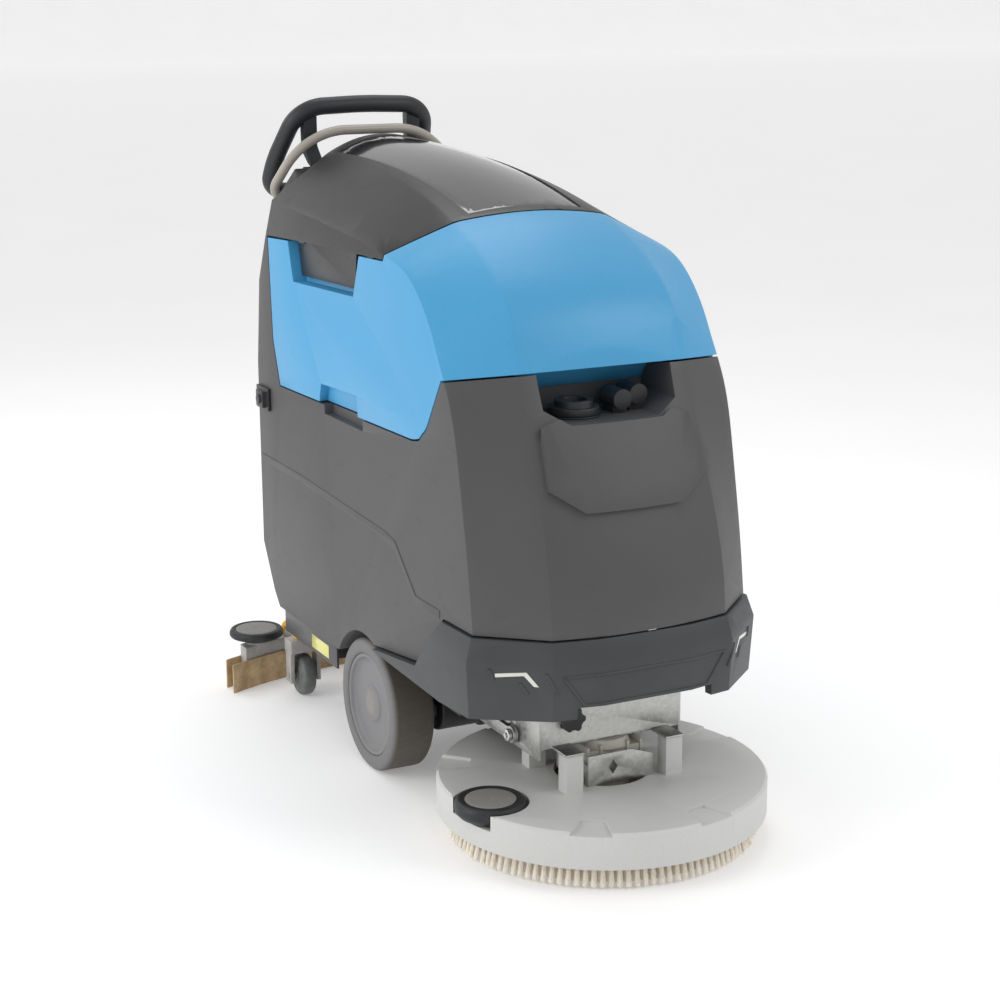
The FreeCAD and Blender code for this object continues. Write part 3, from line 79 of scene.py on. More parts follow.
class Value:
    """An output socket of a shader tree that takes part in sums."""

    def __init__(self, finish, socket):
        self.finish = finish
        self.socket = socket

    def sum(self, operation, first, second):
        return self.finish.add("ShaderNodeMath", {"operation": operation}, {0: first, 1: second})

    def __add__(self, other):
        return self.sum("ADD", self, other)

    def __radd__(self, other):
        return self.sum("ADD", other, self)

    def __sub__(self, other):
        return self.sum("SUBTRACT", self, other)

    def __rsub__(self, other):
        return self.sum("SUBTRACT", other, self)

    def __mul__(self, other):
        return self.sum("MULTIPLY", self, other)

    def __rmul__(self, other):
        return self.sum("MULTIPLY", other, self)

    def power(self, other):
        return self.sum("POWER", self, other)


class Finish:
    """One material: a Principled shader and the nodes that feed it."""

    def __init__(self, name):
        self.material = bpy.data.materials.new(name)
        self.material.use_nodes = True
        self.nodes = self.material.node_tree.nodes
        self.links = self.material.node_tree.links
        self.shader = self.nodes["Principled BSDF"]
        self.place = self.add("ShaderNodeTexCoord", output="Object")

    def add(self, kind, settings=None, inputs=None, output=0):
        """A node of this type: its settings first, then the values or links of its sockets."""
        node = self.nodes.new(kind)
        for name, value in (settings or {}).items():
            if name == "stops":
                self.set_stops(node.color_ramp, value)
            else:
                setattr(node, name, value)
        for name, value in (inputs or {}).items():
            if isinstance(value, Value):
                self.links.new(value.socket, node.inputs[name])
            else:
                node.inputs[name].default_value = value
        return Value(self, node.outputs[output])

    @staticmethod
    def set_stops(ramp, stops):
        while len(ramp.elements) < len(stops):
            ramp.elements.new(0.5)
        for element, (place, color) in zip(ramp.elements, stops):
            element.position = place
            element.color = (*color, 1) if len(color) == 3 else color

    def noise(self, size, detail=2.0, rough=0.5, stretch=None):
        """Noise whose lumps are about this size, in metres."""
        place = self.place
        if stretch:
            place = self.add("ShaderNodeMapping", {}, {"Vector": place, "Scale": stretch})
        return self.add("ShaderNodeTexNoise", {}, {"Vector": place, "Scale": 1 / size, "Detail": detail,
                                                   "Roughness": rough})

    def ramp(self, value, *stops):
        """The value spread between grey levels at these places."""
        grey = [(place, (level, level, level)) for place, level in stops]
        return self.add("ShaderNodeValToRGB", {"stops": grey}, {0: value})

    def blend(self, share, low, high):
        """A colour between two colours."""
        wide = [(*c, 1) if isinstance(c, tuple) else c for c in (low, high)]
        return self.add("ShaderNodeMix", {"data_type": "RGBA"},
                        {0: share, 6: wide[0], 7: wide[1]}, 2)

    def height(self, axis):
        """One coordinate of the place on the piece, in metres."""
        return self.add("ShaderNodeSeparateXYZ", {}, {0: self.place}, axis)

    def bump(self, height, depth, strength=1.0, under=None):
        inputs = {"Height": height, "Distance": depth, "Strength": strength}
        if under:
            inputs["Normal"] = under
        return self.add("ShaderNodeBump", {}, inputs)

    def feed(self, **sockets):
        """Values or links for the shader's own sockets, such as Base_Color."""
        for name, value in sockets.items():
            socket = self.shader.inputs[name.replace("_", " ")]
            if isinstance(value, Value):
                self.links.new(value.socket, socket)
            else:
                socket.default_value = (*value, 1) if isinstance(value, tuple) else value
        return self


def shade(color, share):
    """The colour made darker or lighter by this share."""
    return tuple(min(1, c * share) for c in color)


def moulded(name, color, grain=0.0011, depth=0.00016, rough=0.5, mottle=0.08, dusty=0.0):
    """Injection or rotary moulded plastic: fine grain, faint clouding and handling marks."""
    finish = Finish(name)
    clouds = finish.noise(0.11, 3)
    speck = finish.noise(grain * 1.6, 1)
    scuffs = finish.ramp(finish.noise(0.045, 6, 0.72, (1, 1, 2.6)), (0.56, 0), (0.74, 1))
    tone = finish.blend(clouds, shade(color, 1 - mottle), shade(color, 1 + mottle))
    tone = finish.blend(finish.ramp(speck, (0.35, 0), (0.65, 1)) * 0.18, tone, shade(color, 1.35))
    if dusty:
        low = finish.ramp(finish.height(2), (0.0, 1), (0.42, 0))
        tone = finish.blend(low * finish.ramp(clouds, (0.4, 0.3), (0.7, 1)) * dusty, tone,
                            (0.30, 0.28, 0.25))
    fine = finish.bump(finish.noise(grain, 2, 0.6), depth, 0.55)
    wide = finish.bump(finish.noise(0.02, 2), 0.0004, 0.12, fine)
    gloss = clouds * 0.10 + scuffs * 0.10 + (rough - 0.08)
    return finish.feed(Base_Color=tone, Roughness=gloss, Normal=wide, Specular_IOR_Level=0.45)


def galvanised(name, color=(0.56, 0.56, 0.54)):
    """Zinc-coated steel: crystal spangle, soft smears and pin scratches."""
    finish = Finish(name)
    flakes = finish.add("ShaderNodeTexVoronoi", {"feature": "F1"},
                        {"Vector": finish.place, "Scale": 170.0, "Randomness": 1.0}, "Color")
    flake = finish.add("ShaderNodeSeparateColor", {}, {0: flakes})
    smears = finish.noise(0.05, 4, 0.6)
    scratch = finish.ramp(finish.noise(0.004, 2, 0.5, (1, 6, 0.4)), (0.62, 0), (0.72, 1))
    tone = finish.blend(flake * 0.5 + smears * 0.3, shade(color, 0.74), shade(color, 1.16))
    dull = flake * 0.12 + smears * 0.18 + 0.24 + scratch * 0.1
    finish.feed(Base_Color=tone, Metallic=0.92, Roughness=dull,
                Normal=finish.bump(flake * 0.4 + scratch, 0.00006, 0.5))
    return finish


def painted(name, color, rough=0.42, peel=0.0022):
    """Powder-coated or enamelled metal with a light orange peel."""
    finish = Finish(name)
    clouds = finish.noise(0.06, 3)
    tone = finish.blend(clouds, shade(color, 0.88), shade(color, 1.12))
    finish.feed(Base_Color=tone, Roughness=clouds * 0.14 + (rough - 0.07),
                Normal=finish.bump(finish.noise(peel, 2), 0.00012, 0.5), Coat_Weight=0.15,
                Coat_Roughness=0.25)
    return finish


def cast(name, color, metal=0.0, rough=0.5, lump=0.0016, depth=0.0004):
    """Sand or die casting: pitted skin, with painted shade darkening its hollows."""
    finish = Finish(name)
    skin = finish.noise(lump, 4, 0.65)
    stains = finish.noise(0.035, 4, 0.6)
    tone = finish.blend(finish.ramp(stains, (0.35, 0), (0.7, 1)), shade(color, 0.82),
                        shade(color, 1.08))
    # Painted shade: the hollows of the pitted skin, where the bump is low, are darkened.
    tone = finish.blend(finish.ramp(skin, (0.3, 0.5), (0.45, 0)), tone, shade(color, 0.55))
    finish.feed(Base_Color=tone, Metallic=metal, Roughness=stains * 0.2 + (rough - 0.1),
                Normal=finish.bump(skin, depth, 0.45))
    return finish


def rubber(name, color, rough=0.68, worn=None):
    """Rubber or polyurethane with a chalky bloom."""
    finish = Finish(name)
    bloom = finish.noise(0.025, 5, 0.65)
    tone = finish.blend(finish.ramp(bloom, (0.35, 0), (0.7, 1)), shade(color, 0.8),
                        worn or shade(color, 1.3))
    finish.feed(Base_Color=tone, Roughness=bloom * 0.18 + (rough - 0.09), Specular_IOR_Level=0.35,
                Normal=finish.bump(finish.noise(0.0015, 3), 0.0002, 0.4))
    return finish


def glossy(name, color, rough=0.12):
    """Polished smoked sheet with the faintest ripple and hairlines."""
    finish = Finish(name)
    ripple = finish.noise(0.09, 1)
    hair = finish.ramp(finish.noise(0.003, 2, 0.5, (0.3, 4, 1)), (0.64, 0), (0.78, 1))
    tone = finish.blend(ripple, shade(color, 0.85), shade(color, 1.2))
    finish.feed(Base_Color=tone, Roughness=hair * 0.12 + rough, Coat_Weight=0.8, Coat_Roughness=0.04,
                Normal=finish.bump(ripple, 0.0006, 0.2))
    return finish


def bright(name, color, rough=0.2):
    """Machined or plated metal with fine turning marks."""
    finish = Finish(name)
    marks = finish.noise(0.0016, 3, 0.5, (1, 1, 5))
    tone = finish.blend(finish.noise(0.02, 3), shade(color, 0.85), shade(color, 1.1))
    finish.feed(Base_Color=tone, Metallic=1.0, Roughness=marks * 0.2 + rough,
                Normal=finish.bump(marks, 0.00004, 0.5))
    return finish


def filament(name, color, tip):
    """Nylon bristle: streaked along its length, paler and frayed towards the floor."""
    finish = Finish(name)
    streaks = finish.noise(0.0016, 3, 0.6, (1, 1, 0.06))
    fade = finish.ramp(finish.height(2) * 20, (0.0, 1), (0.9, 0))
    tone = finish.blend(fade, color, tip)
    tone = finish.blend(finish.ramp(streaks, (0.3, 0.55), (0.55, 0)), tone, shade(color, 0.55))
    finish.feed(Base_Color=tone, Roughness=streaks * 0.15 + 0.5, Subsurface_Weight=0.05,
                Normal=finish.bump(streaks, 0.0006, 0.8))
    return finish


def tread_rubber(name, side, tread, radius_split):
    """A wheel whose running surface is browner than its sides."""
    finish = Finish(name)
    bloom = finish.noise(0.03, 5, 0.65)
    marks = finish.noise(0.006, 4, 0.7, (0.25, 1, 1))
    y = finish.height(1)
    z = finish.height(2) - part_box("left_tyre")[1].z / 2
    out = (y * y + z * z).power(0.5)
    outer = finish.ramp((out - radius_split) * 200, (0.0, 0), (1.0, 1))
    base = finish.blend(bloom, shade(side, 0.86), shade(side, 1.15))
    brown = finish.blend(marks, shade(tread, 0.7), shade(tread, 1.35))
    finish.feed(Base_Color=finish.blend(outer, base, brown), Roughness=bloom * 0.16 + 0.5,
                Normal=finish.bump(marks * 0.5 + bloom, 0.0003, 0.35), Specular_IOR_Level=0.4)
    return finish


TREAD_START = 0.1115
BODY_GREY = (0.066, 0.066, 0.068)
BLUE = (0.058, 0.315, 0.575)
LOWER_BODY = moulded("lower body moulding", BODY_GREY, 0.0013, 0.0003, 0.52, 0.07, 0.25)
TANK = moulded("blue tank moulding", BLUE, 0.0011, 0.00012, 0.42, 0.035)
LID = moulded("lid moulding", (0.013, 0.013, 0.014), 0.0012, 0.0002, 0.36, 0.10)
BUMPER = moulded("bumper moulding", (0.036, 0.039, 0.043), 0.0014, 0.0003, 0.50, 0.08, 0.15)
CONSOLE = moulded("console moulding", (0.042, 0.042, 0.044), 0.0012, 0.0002, 0.46)
DECK = moulded("deck moulding", (0.56, 0.56, 0.545), 0.0012, 0.00012, 0.46, 0.04)
BLACK = moulded("black moulding", (0.022, 0.023, 0.025), 0.0010, 0.00015, 0.42)
GRIP = moulded("handlebar soft grip", (0.015, 0.017, 0.021), 0.0010, 0.00022, 0.50, 0.12)
WHEEL = moulded("wheel centre", (0.185, 0.185, 0.190), 0.0013, 0.00018, 0.48, 0.08)
PALE_DISC = moulded("roller disc", (0.235, 0.225, 0.210), 0.0012, 0.0002, 0.55, 0.12)
YELLOW = moulded("yellow knob", (0.92, 0.46, 0.012), 0.0010, 0.0001, 0.34, 0.06)
SMOKE = glossy("smoked panel", (0.016, 0.016, 0.018), 0.1)
SCREEN = glossy("dash overlay", (0.012, 0.013, 0.015), 0.2)
LENS = glossy("light lens", (0.62, 0.62, 0.57), 0.3)
DARK_RING = rubber("roller tyre", (0.020, 0.022, 0.024), 0.5, (0.035, 0.037, 0.04))
SEAL = rubber("soft seal", (0.014, 0.014, 0.014), 0.6)
CASTER = rubber("caster tread", (0.130, 0.140, 0.132), 0.55)
TYRE = tread_rubber("drive tyre", (0.165, 0.165, 0.168), (0.085, 0.072, 0.055),
                    TREAD_START)
GUM = rubber("gum blade", (0.46, 0.30, 0.15), 0.5, (0.62, 0.46, 0.27))
ZINC = galvanised("galvanised steel")
FRAME = painted("powder-coated frame", (0.055, 0.056, 0.060))
MOTOR = painted("motor enamel", (0.012, 0.012, 0.013), 0.5)
BAIL = painted("bail tube enamel", (0.34, 0.315, 0.275), 0.34)
CREAM = cast("gear case casting", (0.62, 0.60, 0.52))
CASTING = cast("squeegee casting", (0.40, 0.39, 0.375), 0.0, 0.46, 0.0013, 0.0002)
BRASS = bright("brass", (0.72, 0.50, 0.20), 0.25)
PLATED = bright("plated steel", (0.70, 0.70, 0.70), 0.22)
BRISTLE = filament("bristle", (0.80, 0.70, 0.57), (0.90, 0.83, 0.72))
HUB = moulded("brush block", (0.60, 0.55, 0.47), 0.0012, 0.0002, 0.5)
FOAM = rubber("battery tray foam", (0.10, 0.10, 0.10), 0.8)
DECAL = glossy("plain yellow label", (0.66, 0.64, 0.16), 0.4)


# ---------------------------------------------------------------------------------
# Mesh work.

SOFT_EDGE = 42


def new_object(name, mesh, finish=None):
    item = bpy.data.objects.new(name, mesh)
    bpy.context.scene.collection.objects.link(item)
    if finish:
        mesh.materials.clear()
        mesh.materials.append(finish.material)
    return item


def mesh_of(shape, name="shape"):
    """A plain mesh from a bmesh, which is freed."""
    mesh = bpy.data.meshes.new(name)
    shape.to_mesh(mesh)
    shape.free()
    return mesh


def applied(item):
    """The object with its modifiers turned into plain mesh."""
    graph = bpy.context.evaluated_depsgraph_get()
    mesh = bpy.data.meshes.new_from_object(item.evaluated_get(graph), preserve_all_data_layers=True,
                                           depsgraph=graph)
    old = item.data
    item.modifiers.clear()
    item.data = mesh
    bpy.data.meshes.remove(old)
    return item


def smooth(item, angle=32):
    """Smooth shading that keeps edges sharper than this angle."""
    shape = bmesh.new()
    shape.from_mesh(item.data)
    for face in shape.faces:
        face.smooth = True
    for edge in shape.edges:
        edge.smooth = len(edge.link_faces) == 2 and edge.calc_face_angle(0) < math.radians(angle)
    shape.to_mesh(item.data)
    shape.free()
    return item


def place_on(item, body, *nodes):
    """The piece rides on its body, and stands for these CAD nodes."""
    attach(item, body)
    if nodes:
        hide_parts(*nodes)
    return item


def eased(outline, radius, steps=4, closed=True):
    """An outline with each corner rounded, by no more than its edges allow."""
    points = [Vector(p) for p in outline]
    count = len(points)
    made = []
    for i, point in enumerate(points):
        if not closed and i in (0, count - 1):
            made.append(point)
            continue
        back = points[i - 1] - point
        ahead = points[(i + 1) % count] - point
        reach = min(radius, back.length * 0.45, ahead.length * 0.45)
        start = point + back.normalized() * reach
        end = point + ahead.normalized() * reach
        for step in range(steps + 1):
            share = step / steps
            made.append(start.lerp(point, share).lerp(point.lerp(end, share), share))
    return made


def axes_of(axis):
    """Two directions square to an axis."""
    first = axis.cross(REAR if abs(axis.y) < 0.9 else UP).normalized()
    return first, axis.cross(first)


def lathe(name, outline, centre, axis, finish, ease=0.0012, segments=96, closed=True):
    """A turned solid from an outline of (radius, height), in millimetres, about an axis."""
    points = eased([(r * MM, h * MM) for r, h in outline], ease, 3, closed)
    axis = Vector(axis).normalized()
    first, second = axes_of(axis)
    shape = bmesh.new()
    rings = []
    for point in points:
        radius = max(point.x, 0.0)
        if radius < 1e-6:
            rings.append([shape.verts.new(centre + axis * point.y)])
            continue
        ring = []
        for i in range(segments):
            turn = 2 * math.pi * i / segments
            spoke = first * math.cos(turn) + second * math.sin(turn)
            ring.append(shape.verts.new(centre + axis * point.y + spoke * radius))
        rings.append(ring)
    last = len(rings) if closed else len(rings) - 1
    for i in range(last):
        low, high = rings[i], rings[(i + 1) % len(rings)]
        for j in range(segments):
            corners = []
            for ring, spot in ((low, j), (low, j + 1), (high, j + 1), (high, j)):
                corner = ring[spot % len(ring)]
                if corner not in corners:
                    corners.append(corner)
            if len(corners) > 2:
                shape.faces.new(corners)
    bmesh.ops.remove_doubles(shape, verts=shape.verts, dist=1e-7)
    bmesh.ops.recalc_face_normals(shape, faces=shape.faces)
    item = new_object(name, mesh_of(shape, name), finish)
    return smooth(item, 38)


def cad_shape(node):
    """A copy of a CAD node's mesh with its doubled corners merged and flat faces joined."""
    shape = bmesh.new()
    shape.from_mesh(frame["nodes"][node].data)
    bmesh.ops.remove_doubles(shape, verts=shape.verts, dist=2e-6)
    bmesh.ops.dissolve_limit(shape, angle_limit=math.radians(0.6), verts=shape.verts, edges=shape.edges)
    return shape


def broken(shape, least, most, width):
    """A flat band cut along the soft ridges between the broad faces of a moulding."""
    broad = 2e-5
    ridges = [edge for edge in shape.edges if len(edge.link_faces) == 2 and edge.is_convex
              and math.radians(least) < edge.calc_face_angle() < math.radians(most)
              and min(face.calc_area() for face in edge.link_faces) > broad]
    bmesh.ops.bevel(shape, geom=ridges, offset=width, segments=2, profile=0.5, affect="EDGES",
                    clamp_overlap=False)
    return shape


def rounded(node, finish, body, width, angle=24, segments=3, ridge=None):
    """The CAD node with every sharp edge rounded, standing for it."""
    shape = cad_shape(node)
    if ridge:
        broken(shape, *ridge)
    item = new_object(f"{node}_shape", mesh_of(shape, node), finish)
    bevel = item.modifiers.new("edges", "BEVEL")
    bevel.width = width
    bevel.segments = segments
    bevel.limit_method = "ANGLE"
    bevel.angle_limit = math.radians(angle)
    bevel.use_clamp_overlap = True
    bevel.miter_outer = "MITER_ARC"
    applied(item)
    smooth(item, SOFT_EDGE)
    return place_on(item, body, node)


def slab_piece(name, outline, low, high, place, finish, body, ease=0.002, edge=0.0006):
    """A flat plate: an outline in its own plane, thickened, set by a placing function."""
    shape = bmesh.new()
    points = eased(outline, ease, 3)
    bottom = [shape.verts.new(place(p.x, p.y, low)) for p in points]
    top = [shape.verts.new(place(p.x, p.y, high)) for p in points]
    shape.faces.new(bottom)
    shape.faces.new(list(reversed(top)))
    for i in range(len(points)):
        j = (i + 1) % len(points)
        shape.faces.new([bottom[j], bottom[i], top[i], top[j]])
    bmesh.ops.recalc_face_normals(shape, faces=shape.faces)
    item = new_object(name, mesh_of(shape, name), finish)
    bevel = item.modifiers.new("edges", "BEVEL")
    bevel.width = edge
    bevel.segments = 2
    bevel.limit_method = "ANGLE"
    bevel.angle_limit = math.radians(40)
    applied(item)
    smooth(item, 40)
    return place_on(item, body)


def skin_of(*nodes):
    """A search tree over CAD nodes, to lay thin trim on their surface."""
    shape = bmesh.new()
    for node in nodes:
        shape.from_mesh(frame["nodes"][node].data)
    tree = BVHTree.FromBMesh(shape)
    shape.free()
    return tree


# ---------------------------------------------------------------------------------
# Geometry Nodes: one tree sets a small part at marked places, another makes the brush.


def node_group(name, inputs):
    """An empty geometry tree with these named inputs."""
    tree = bpy.data.node_groups.new(name, "GeometryNodeTree")
    tree.interface.new_socket("Geometry", in_out="INPUT", socket_type="NodeSocketGeometry")
    for label, kind, default in inputs:
        socket = tree.interface.new_socket(label, in_out="INPUT", socket_type=kind)
        if default is not None:
            socket.default_value = default
    tree.interface.new_socket("Geometry", in_out="OUTPUT", socket_type="NodeSocketGeometry")
    return tree


def step(tree, kind, inputs=None, **settings):
    """A geometry node with its settings, then its linked or plain inputs."""
    node = tree.nodes.new(kind)
    for name, value in settings.items():
        setattr(node, name, value)
    for name, value in (inputs or {}).items():
        if isinstance(value, bpy.types.NodeSocket):
            tree.links.new(value, node.inputs[name])
        else:
            node.inputs[name].default_value = value
    return node


def set_tree():
    """Sets one small part at every marked place, turned to its own facing."""
    tree = node_group("set at places", (("Part", "NodeSocketObject", None),
                                        ("Finish", "NodeSocketMaterial", None),
                                        ("Size", "NodeSocketFloat", 1.0)))
    source = step(tree, "NodeGroupInput")
    facing = step(tree, "GeometryNodeInputNamedAttribute", {"Name": "facing"},
                  data_type="FLOAT_VECTOR")
    spin = step(tree, "GeometryNodeInputNamedAttribute", {"Name": "spin"}, data_type="FLOAT")
    part = step(tree, "GeometryNodeObjectInfo", {"Object": source.outputs["Part"], "As Instance": True})
    aim = step(tree, "FunctionNodeAlignRotationToVector", {"Vector": facing.outputs[0]}, axis="Z")
    about = step(tree, "FunctionNodeAxisAngleToRotation", {"Axis": (0, 0, 1), "Angle": spin.outputs[0]})
    turn = step(tree, "FunctionNodeRotateRotation", {"Rotation": aim.outputs[0],
                                                     "Rotate By": about.outputs[0]},
                rotation_space="LOCAL")
    put = step(tree, "GeometryNodeInstanceOnPoints", {"Points": source.outputs["Geometry"],
                                                      "Instance": part.outputs["Geometry"],
                                                      "Rotation": turn.outputs[0],
                                                      "Scale": source.outputs["Size"]})
    real = step(tree, "GeometryNodeRealizeInstances", {"Geometry": put.outputs[0]})
    coat = step(tree, "GeometryNodeSetMaterial", {"Geometry": real.outputs[0],
                                                  "Material": source.outputs["Finish"]})
    end = step(tree, "NodeGroupOutput")
    tree.links.new(coat.outputs[0], end.inputs[0])
    return tree


TUFT_WANDER = 0.05


def brush_tree():
    """One ring of bristle tufts, leaning outwards by an angle that varies a little."""
    tree = node_group("ring of tufts", (("Part", "NodeSocketObject", None),
                                        ("Finish", "NodeSocketMaterial", None),
                                        ("Count", "NodeSocketInt", 100),
                                        ("Radius", "NodeSocketFloat", 0.2),
                                        ("Top", "NodeSocketFloat", 0.05),
                                        ("Lean", "NodeSocketFloat", 0.1),
                                        ("Seed", "NodeSocketInt", 1)))
    source = step(tree, "NodeGroupInput")
    ring = step(tree, "GeometryNodeMeshCircle", {"Vertices": source.outputs["Count"],
                                                 "Radius": source.outputs["Radius"]})
    place = step(tree, "GeometryNodeInputPosition")
    heading = step(tree, "FunctionNodeAlignRotationToVector", {"Vector": place.outputs[0]}, axis="X")
    tilt = step(tree, "FunctionNodeRandomValue", {"Seed": source.outputs["Seed"]}, data_type="FLOAT")
    scatter = [s for s in tilt.outputs if s.enabled][0]
    floats = [s for s in tilt.inputs if s.enabled and s.type == "VALUE"]
    floats[0].default_value, floats[1].default_value = -TUFT_WANDER, TUFT_WANDER
    lean = step(tree, "ShaderNodeMath", {0: source.outputs["Lean"], 1: scatter}, operation="ADD")
    back = step(tree, "ShaderNodeMath", {0: 0.0, 1: lean.outputs[0]}, operation="SUBTRACT")
    about = step(tree, "FunctionNodeAxisAngleToRotation", {"Axis": (0, 1, 0), "Angle": back.outputs[0]})
    turn = step(tree, "FunctionNodeRotateRotation", {"Rotation": heading.outputs[0],
                                                     "Rotate By": about.outputs[0]},
                rotation_space="LOCAL")
    part = step(tree, "GeometryNodeObjectInfo", {"Object": source.outputs["Part"], "As Instance": True})
    put = step(tree, "GeometryNodeInstanceOnPoints", {"Points": ring.outputs["Mesh"],
                                                      "Instance": part.outputs["Geometry"],
                                                      "Rotation": turn.outputs[0]})
    lift = step(tree, "ShaderNodeCombineXYZ", {"Z": source.outputs["Top"]})
    up = step(tree, "GeometryNodeTransform", {"Geometry": put.outputs[0],
                                              "Translation": lift.outputs[0]})
    real = step(tree, "GeometryNodeRealizeInstances", {"Geometry": up.outputs[0]})
    coat = step(tree, "GeometryNodeSetMaterial", {"Geometry": real.outputs[0],
                                                  "Material": source.outputs["Finish"]})
    end = step(tree, "NodeGroupOutput")
    tree.links.new(coat.outputs[0], end.inputs[0])
    return tree


SET_TREE = set_tree()
BRUSH_TREE = brush_tree()


def run_tree(item, tree, values):
    """Runs a geometry tree on an object with these inputs, and keeps the plain result."""
    item.hide_render = False
    modifier = item.modifiers.new("repeat", "NODES")
    modifier.node_group = tree
    for socket in tree.interface.items_tree:
        if socket.in_out == "INPUT" and socket.name in values:
            modifier[socket.identifier] = values[socket.name]
    return applied(item)


def part_object(shape, name):
    """A small part, linked into the scene, for a tree to set at places."""
    return new_object(name, mesh_of(shape, name))


def repeat(name, part, places, finish, body, size=1.0):
    """The small part at each place: (point, facing, spin in radians)."""
    mesh = bpy.data.meshes.new(name)
    mesh.from_pydata([p for p, _, _ in places], [], [])
    mesh.attributes.new("facing", "FLOAT_VECTOR", "POINT")
    mesh.attributes.new("spin", "FLOAT", "POINT")
    for i, (_, direction, turn) in enumerate(places):
        mesh.attributes["facing"].data[i].vector = direction
        mesh.attributes["spin"].data[i].value = turn
    item = new_object(name, mesh)
    run_tree(item, SET_TREE, {"Part": part, "Finish": finish.material, "Size": size})
    smooth(item, 35)
    return place_on(item, body)


def hex_bolt():
    """A hexagon head with a chamfered crown on a washer, standing along Z."""
    shape = bmesh.new()
    for radius, low, high, top_radius, sides in ((8.0, 0, 1.2, 8.0, 20), (5.8, 1.2, 4.4, 5.2, 6)):
        made = bmesh.ops.create_cone(shape, cap_ends=True, segments=sides, radius1=radius * MM,
                                     radius2=top_radius * MM, depth=(high - low) * MM)
        bmesh.ops.translate(shape, verts=made["verts"], vec=(0, 0, (low + high) / 2 * MM))
    return part_object(shape, "hex bolt")


def tuft():
    """A bundle of nylon that spreads from its root down to a ragged tip."""
    shape = bmesh.new()
    levels = ((0.0, 2.9, 1.0), (-16, 3.4, 1.0), (-32, 4.0, 1.05), (-46.5, 4.5, 1.1))
    loops = []
    for drop, radius, flat in levels:
        loop = []
        for i in range(8):
            turn = i * math.pi / 4
            ragged = 1.2 * math.sin(i * 2.4) if drop < -40 else 0
            spot = mm(radius * 0.8 * math.cos(turn), radius * flat * math.sin(turn), drop + abs(ragged))
            loop.append(shape.verts.new(spot))
        loops.append(loop)
    for high, low in zip(loops, loops[1:]):
        for i in range(8):
            shape.faces.new([low[i], low[(i + 1) % 8], high[(i + 1) % 8], high[i]])
    shape.faces.new(loops[0])
    tip = shape.verts.new(mm(0, 0, -44.5))
    for i in range(8):
        shape.faces.new([loops[-1][(i + 1) % 8], loops[-1][i], tip])
    bmesh.ops.recalc_face_normals(shape, faces=shape.faces)
    return part_object(shape, "tuft")


def rib(wide, deep, high):
    """A short moulded rib, drafted towards its top."""
    shape = bmesh.new()
    made = bmesh.ops.create_cube(shape, size=1)
    for vert in made["verts"]:
        draft = 0.72 if vert.co.z > 0 else 1
        vert.co = Vector((vert.co.x * wide * draft, vert.co.y * deep * draft, (vert.co.z + 0.5) * high))
    bmesh.ops.bevel(shape, geom=shape.edges[:], offset=min(wide, deep, high) * 0.2, segments=1,
                    affect="EDGES")
    return part_object(shape, "rib")


BOLT = hex_bolt()
TUFT = tuft()

# ---------------------------------------------------------------------------------
# Main mouldings.

rounded("solution_tank", LOWER_BODY, "chassis", 0.0022, ridge=(9, 22, 0.005))
rounded("recovery_tank", TANK, "recovery", 0.0030, ridge=(9, 22, 0.006))
rounded("recovery_lid", LID, "lid", 0.0022, ridge=(8, 22, 0.004))
rounded("front_bumper", BUMPER, "chassis", 0.0022)
rounded("control_console", CONSOLE, "chassis", 0.0040)
rounded("deck_cover", DECK, "deck", 0.0016)
rounded("lid_window", SMOKE, "lid", 0.0010)
rounded("bumper_lights", LENS, "chassis", 0.0005, segments=2)
rounded("rear_cover", CONSOLE, "chassis", 0.0012)
rounded("dash_panel", SCREEN, "chassis", 0.0008)
rounded("rear_catch", BLACK, "chassis", 0.0015)
rounded("solution_coupling", BLACK, "chassis", 0.0014)
rounded("filler_cap", BLACK, "cap", 0.0014)
rounded("filler_strainer", BLACK, "chassis", 0.0006)

# Steel, castings and running gear that keep their CAD shape with eased edges.
rounded("chassis_tray", FRAME, "chassis", 0.0007, segments=2)
rounded("deck_hanger", ZINC, "deck", 0.0007, segments=2)
rounded("deck_plate", ZINC, "deck", 0.0007, segments=2)
rounded("lower_arms", ZINC, "lower_links", 0.0008, segments=2)
rounded("upper_arms", ZINC, "upper_links", 0.0008, segments=2)
rounded("brush_gearbox", CREAM, "deck", 0.0022)
rounded("squeegee_body", CASTING, "squeegee", 0.0018)
rounded("squeegee_arm", CASTING, "squeegee_lift_arm", 0.0015)
rounded("front_blade", GUM, "squeegee", 0.0005, segments=2)
rounded("rear_blade", GUM, "squeegee", 0.0005, segments=2)
rounded("transaxle", MOTOR, "chassis", 0.0025)
rounded("drive_motor", MOTOR, "chassis", 0.0040)
rounded("solution_filter", MOTOR, "chassis", 0.0030)
rounded("brush_motor", MOTOR, "deck", 0.0020)
rounded("batteries", BLACK, "chassis", 0.0020)
rounded("battery_riser", FOAM, "chassis", 0.0015)
rounded("motor_controller", MOTOR, "chassis", 0.0015)
rounded("brass_hose_tail", BRASS, "chassis", 0.0006)
rounded("vacuum_motor", MOTOR, "recovery", 0.0020)
rounded("vacuum_standpipe", BLACK, "recovery", 0.0008)
rounded("lid_gasket", SEAL, "recovery", 0.0012)
rounded("suction_spigot", BLACK, "squeegee", 0.0008)
rounded("chassis_pins", PLATED, "chassis", 0.0006, segments=2)
rounded("hanger_pins", PLATED, "deck", 0.0006, segments=2)
rounded("brush_block", HUB, "brush", 0.0012)
rounded("deck_knob", BLACK, "hanger_knob", 0.0014)
rounded("key", PLATED, "ignition_key", 0.0005, segments=2)
rounded("speed_knob", BLACK, "speed_dial", 0.0008)
rounded("brush_button", LENS, "brush_switch", 0.0006)
rounded("vacuum_button", LENS, "vacuum_switch", 0.0006)
rounded("handlebar", GRIP, "chassis", 0.0025, 40)
rounded("operator_bail", BAIL, "bail", 0.0008, 40)

